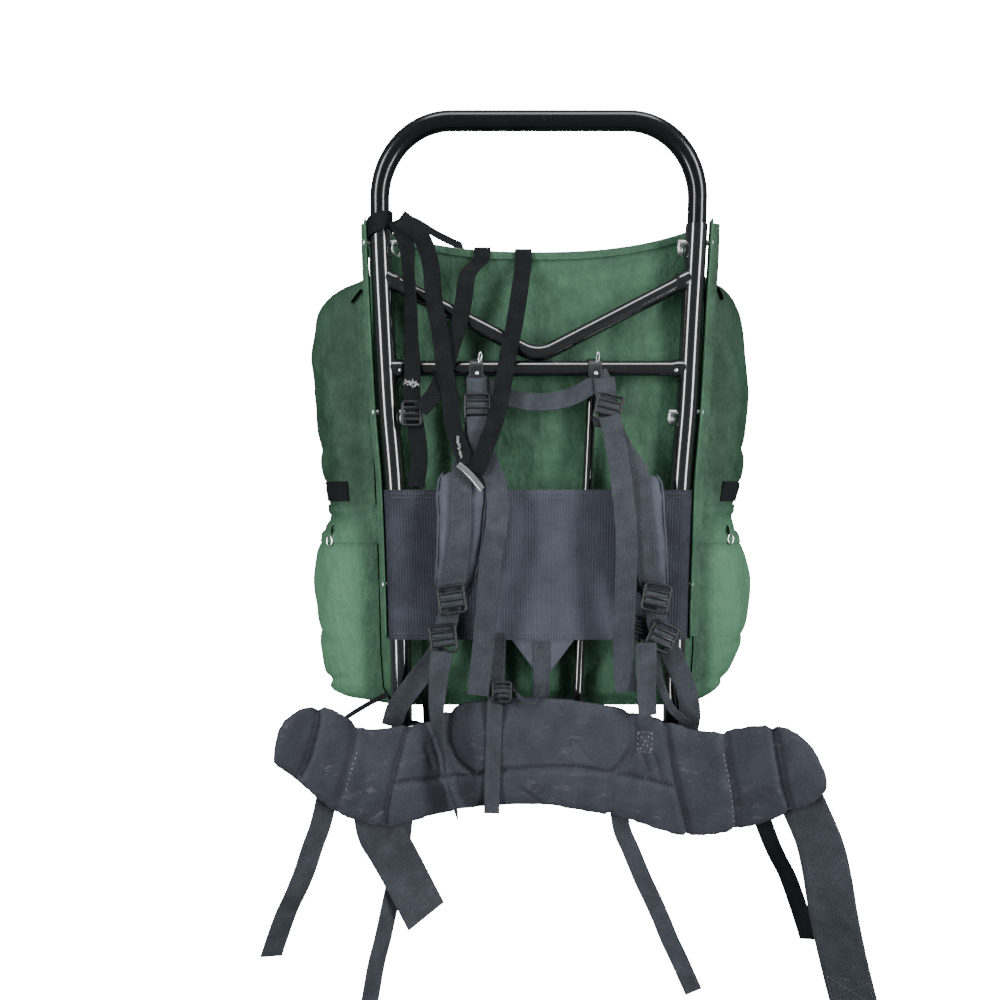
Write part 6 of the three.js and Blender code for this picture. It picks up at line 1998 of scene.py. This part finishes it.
def build_flaps():
    """A sheet between two flap grids, a tab on the pocket, and an oval ring below it."""
    for hand, sign in (("left", -1), ("right", 1)):
        z = -np.linspace(FLAP_TOP, FLAP_BOTTOM, 26)[:, None]
        across = ((1 - np.cos(np.pi * np.linspace(0, 0.8, 36))) / 2)[None]
        grids = [flap_grid(hand, lift, across, z) for lift in (1.4, 0.0)]
        flap = make_mesh(f"pocket_flap_{hand}", sheet_skin(grids[0], grids[1]), 60)
        dress(flap, "bag_cloth")
        ring_px = (331, 541) if hand == "left" else (729, 539)
        pocket = surface(bpy.data.objects[f"pocket_wall_lower_{hand}"])
        line = [(ring_px[0] - sign * back, py) for back, py in ((6, 521), (4, 528), (2, 535))]
        place, away = struck(pocket, line, 80)
        shell = strip_skin(route(place + away * 2.4), 12.0, 1.2, (0, 1, 0), step=2.0)
        dress(make_mesh(f"flap_tab_{hand}", shell, 50), "black_webbing")
        at, facing = struck(pocket, [ring_px], 80)
        angle = np.linspace(0, 2 * np.pi, 40, endpoint=False)
        side = unit(np.cross(facing[0], (0, 0, 1.0)))
        loop = at[0] + facing[0] * 2.6 + 6 * np.cos(angle)[:, None] * np.array([0, 0, 1.0])
        loop = loop + 4.5 * np.sin(angle)[:, None] * side
        section = circle(8, 0.9)
        radial = unit(loop - loop.mean(0))
        grid = loop[:, None] + section[None, :, :1] * radial[:, None] + section[None, :, 1:] * facing[0]
        dress(make_mesh(f"flap_ring_{hand}", skin(grid, "loop")), "pin_steel")


build_flaps()
print("flaps' height, mm:", FLAP_BOTTOM - FLAP_TOP)

# %% [markdown]
# A slider sits on the black belt strap, half of a side-release buckle lies beside the right end
# ladder-lock, and each upper pocket has a tab at its top. They reuse the moulded bars and the webbing.

# %% Slider, buckle half and tabs
def glide(name, strap_name, start, width, height):
    """A small moulded slider round a strap: a round-cornered ring and one bar across it."""
    line, out = on_strap(strap_name, [[(start, -1), (start, 1)]], 1.2)[0]
    wide = unit(line[-1] - line[0])
    axes = (wide, out[0], unit(np.cross(wide, out[0])))
    centre = line.mean(0)
    ring = ring_skin(centre, axes, rounded_box_path(width, height, 3.0), 1.6, 1.6, 10)
    bar = bar_skin(centre, axes, (-width / 2, 0), (width / 2, 0), 1.8, 1.4, 0.6)
    dress(make_mesh(name, joined(ring, bar)), "buckle_plastic")


def build_side_release(px, py, depth, tilt):
    """Half of a side-release buckle: a ring with a webbing bar, a solid nose and two curved prongs."""
    centre = seen_at(px, py, depth)
    axes = wide, out, up = tilted_axes(tilt)
    shells = [bar_skin(centre, axes, (-12, level), (12, level), 2.4, 1.9, bow)
              for level, bow in ((13, 0.4), (5, 0.2), (0, 0.8), (-4, 0.8))]
    shells += [bar_skin(centre, axes, (side * 11.5, 14), (side * 11.5, -3), 1.9, 1.9) for side in (-1, 1)]
    t = np.linspace(0, 1, 15)[:, None]
    for side in (-1, 1):
        bent = side * (10.5 - 5 * t ** 2) * wide - (3 + 13 * t) * up
        prong = centre + bent + 0.8 * np.sin(np.pi * t) * out
        shells.append(rod_skin(prong, 2.3 - 0.9 * t[:, 0], out, count=12, round_end=2.0))
    shells.append(bar_skin(centre, axes, (0, -3), (0, -15), 1.6, 1.3))
    dress(make_mesh("side_release_right", joined(*shells)), "buckle_plastic")


POCKET_TABS = {"left": [(362, 290), (357, 296), (352, 303)], "right": [(715, 286), (719, 292), (722, 300)]}


def build_pocket_tabs():
    """A short strip of webbing on each upper pocket, a little off its surface."""
    for hand, line in POCKET_TABS.items():
        tree = surface(bpy.data.objects[f"pocket_wall_upper_{hand}"])
        place, away = struck(tree, line, 75)
        shell = strip_skin(route(place + away * 1.4), 8.0, 1.2, (0, 1, 0), step=1.5)
        dress(make_mesh(f"pocket_tab_{hand}", shell, 50), "black_webbing")


build_side_release(642, 630, 15.0, 14)
build_pocket_tabs()
glide("glide_right_outer", "belt_strap_right_outer", 27.0, 22.0, 13.0)
print("slider, buckle half and pocket tabs:", 2 + len(POCKET_TABS))

# %% [markdown]
# Loose straps come last: one that arches from the tube's wrap to the lid, thin ones at both feet and
# behind the belt, and the curl of the lumbar webbing. Each is a row of pixels, with a depth for each. A
# thin elastic cord loops round the centre buckle, and pale threads have frayed from two black straps.

# %% Loose straps, elastic and frays
def loose_strap(name, points, width, slot, across=ACROSS):
    """Webbing through its points that stands for no CAD node."""
    dress(make_mesh(f"loose_{name}", strip_skin(route(points), width, 1.2, across), 50), slot)


def fray(name, strap_name, pixels, spread, seed):
    """Thin threads that leave a strap's edge in slightly different directions."""
    chance = np.random.default_rng(seed)
    tree = surface(bpy.data.objects[f"web_{strap_name}"])
    place, out = struck(tree, fine_line(pixels, 0.45))
    ends = chance.normal(0, 1, (len(place), 3)) * spread
    shells = [rod_skin(route([p + o * 0.3, p + o * 1.4 + e * 0.5, p + o * 2.2 + e], 4), 0.4, count=5)
              for p, o, e in zip(place, out, ends)]
    dress(make_mesh(name, joined(*shells), 80), "black_webbing", finish="pale_thread")


LOOSE = {
    "left_foot": ([388, 370, 350, 338], [694, 703, 715, 724], [22, 20, 16, 8], 6.0, "black_webbing", ACROSS),
    "behind_belt": ([426, 426, 427, 428], [676, 700, 722, 740], [52, 51, 54, 56], 9.0, "black_webbing",
                    ACROSS),
    "right_foot": ([655, 660, 671, 688], [654, 682, 708, 724], [14, 8, 10, 18], 10.0, "grey_webbing", ACROSS),
    "lumbar_loop": ([541, 538, 530, 521, 514], [684, 696, 702, 698, 688], [13, 9, 4, 2, 2], 9.0,
                    "grey_webbing", (0, 1, 0.4)),
}
ELASTIC = seen_at([513, 517, 513, 503, 496, 498], [683, 692, 701, 705, 698, 688], [2, 0, -2, -4, -2, 2])
tube_edge = -float(tube_half(-TUBE_TOP))
arch = np.vstack([(tube_edge + 15.5, 52, -96), seen_at([412, 436, 458], [221, 234, 245], [66, 78, 84]),
                  (-92, 92, -103)])
loose_strap("arch", arch, 16.0, "black_webbing", (0, 0.6, 0.8))
for name, (px, py, depths, width, slot, across) in LOOSE.items():
    loose_strap(name, seen_at(px, py, depths), width, slot, across)
dress(make_mesh("elastic_loop", rod_skin(evenly(route(ELASTIC), 1.5)[0], 0.8, count=8, round_end=0.8)),
      "black_webbing")
fray("fray_upper", "lash_strap_outer", [(406, 381), (419, 384)], (3.0, 0.6, 3.0), 5)
fray("fray_lower", "lash_strap_long", [(457, 440), (461, 455)], (1.2, 0.6, 3.5), 6)
print("loose straps:", 1 + len(LOOSE))

# %% [markdown]
# The set is a white sweep, a floor that curves up into a wall far behind, as for a product picture. Its
# glow is for the camera alone: it neither lights the pack nor shows in the tubes, so the paint stays
# black.

# %% Set
def build_sweep():
    """A straight floor, a quarter circle and a straight wall, as one open grid."""
    turn = np.linspace(0, np.pi / 2, 24)
    radius, floor, back = 900.0, -1060.0, 3200.0
    y = np.concatenate([[-4000.0], back - radius + radius * np.sin(turn), [back]])
    z = np.concatenate([[floor], floor + radius - radius * np.cos(turn), [3000.0]])
    x = np.linspace(-4200, 4200, 13)
    grid = stacked(x[None, :], y[:, None], z[:, None])
    rows, count = grid.shape[:2]
    i, j = np.meshgrid(np.arange(rows - 1), np.arange(count - 1), indexing="ij")
    near, far = i * count + j, (i + 1) * count + j
    quads = stacked(near, near + 1, far + 1, far).reshape(-1, 4)
    none = np.zeros((0, 3), int)
    piece = make_mesh("sweep", {"points": grid.reshape(-1, 3), "quads": quads, "tris": none, "uv": None})
    paper = Finish("white_paper", Roughness=0.95)
    paper.shader.inputs["Base Color"].default_value = (0.93, 0.93, 0.93, 1)
    paper.shader.inputs["Emission Color"].default_value = (1, 1, 1, 1)
    paper.shader.inputs["Emission Strength"].default_value = 20.0
    piece.data.materials.append(paper.material)
    piece.visible_diffuse = False
    piece.visible_glossy = False


build_sweep()
print("white sweep laid")

# %% [markdown]
# Two tall soft lights stand beside the camera and draw the two bright lines down each tube. A weak one
# above softens the folds, and one behind rounds the bag's edges.

# %% Lights
AIM = (0.0, 0.05, -0.45)
LIGHTS = {  # place, aim, width and height in metres, and power in watts
    "strip_left": ((-1.35, -1.25, -0.3), AIM, 0.4, 1.9, 38),
    "strip_right": ((1.35, -1.25, -0.3), AIM, 0.4, 1.9, 42),
    "overhead": ((0.1, -0.7, 1.2), AIM, 1.4, 0.6, 16),
    "behind": ((0.4, 2.0, 2.1), (0.0, 0.2, -0.4), 1.8, 1.0, 30),
}


def soft_light(name, at, aim, width, height, power):
    """A rectangle of light at a place, turned to face another."""
    data = bpy.data.lights.new(name, "AREA")
    data.shape = "RECTANGLE"
    data.size, data.size_y = width, height
    data.energy = power
    light = bpy.data.objects.new(name, data)
    light.location = at
    light.rotation_mode = "QUATERNION"
    light.rotation_quaternion = (Vector(aim) - Vector(at)).to_track_quat("-Z", "Y")
    bpy.context.scene.collection.objects.link(light)


for name, row in LIGHTS.items():
    soft_light(name, *row)
world = bpy.data.worlds.new("studio")
world.use_nodes = True
sky = world.node_tree.nodes["Background"]
sky.inputs["Color"].default_value = (0.95, 0.97, 1.0, 1)
sky.inputs["Strength"].default_value = 0.2
bpy.context.scene.world = world
print("lights, W:", {name: row[-1] for name, row in LIGHTS.items()})
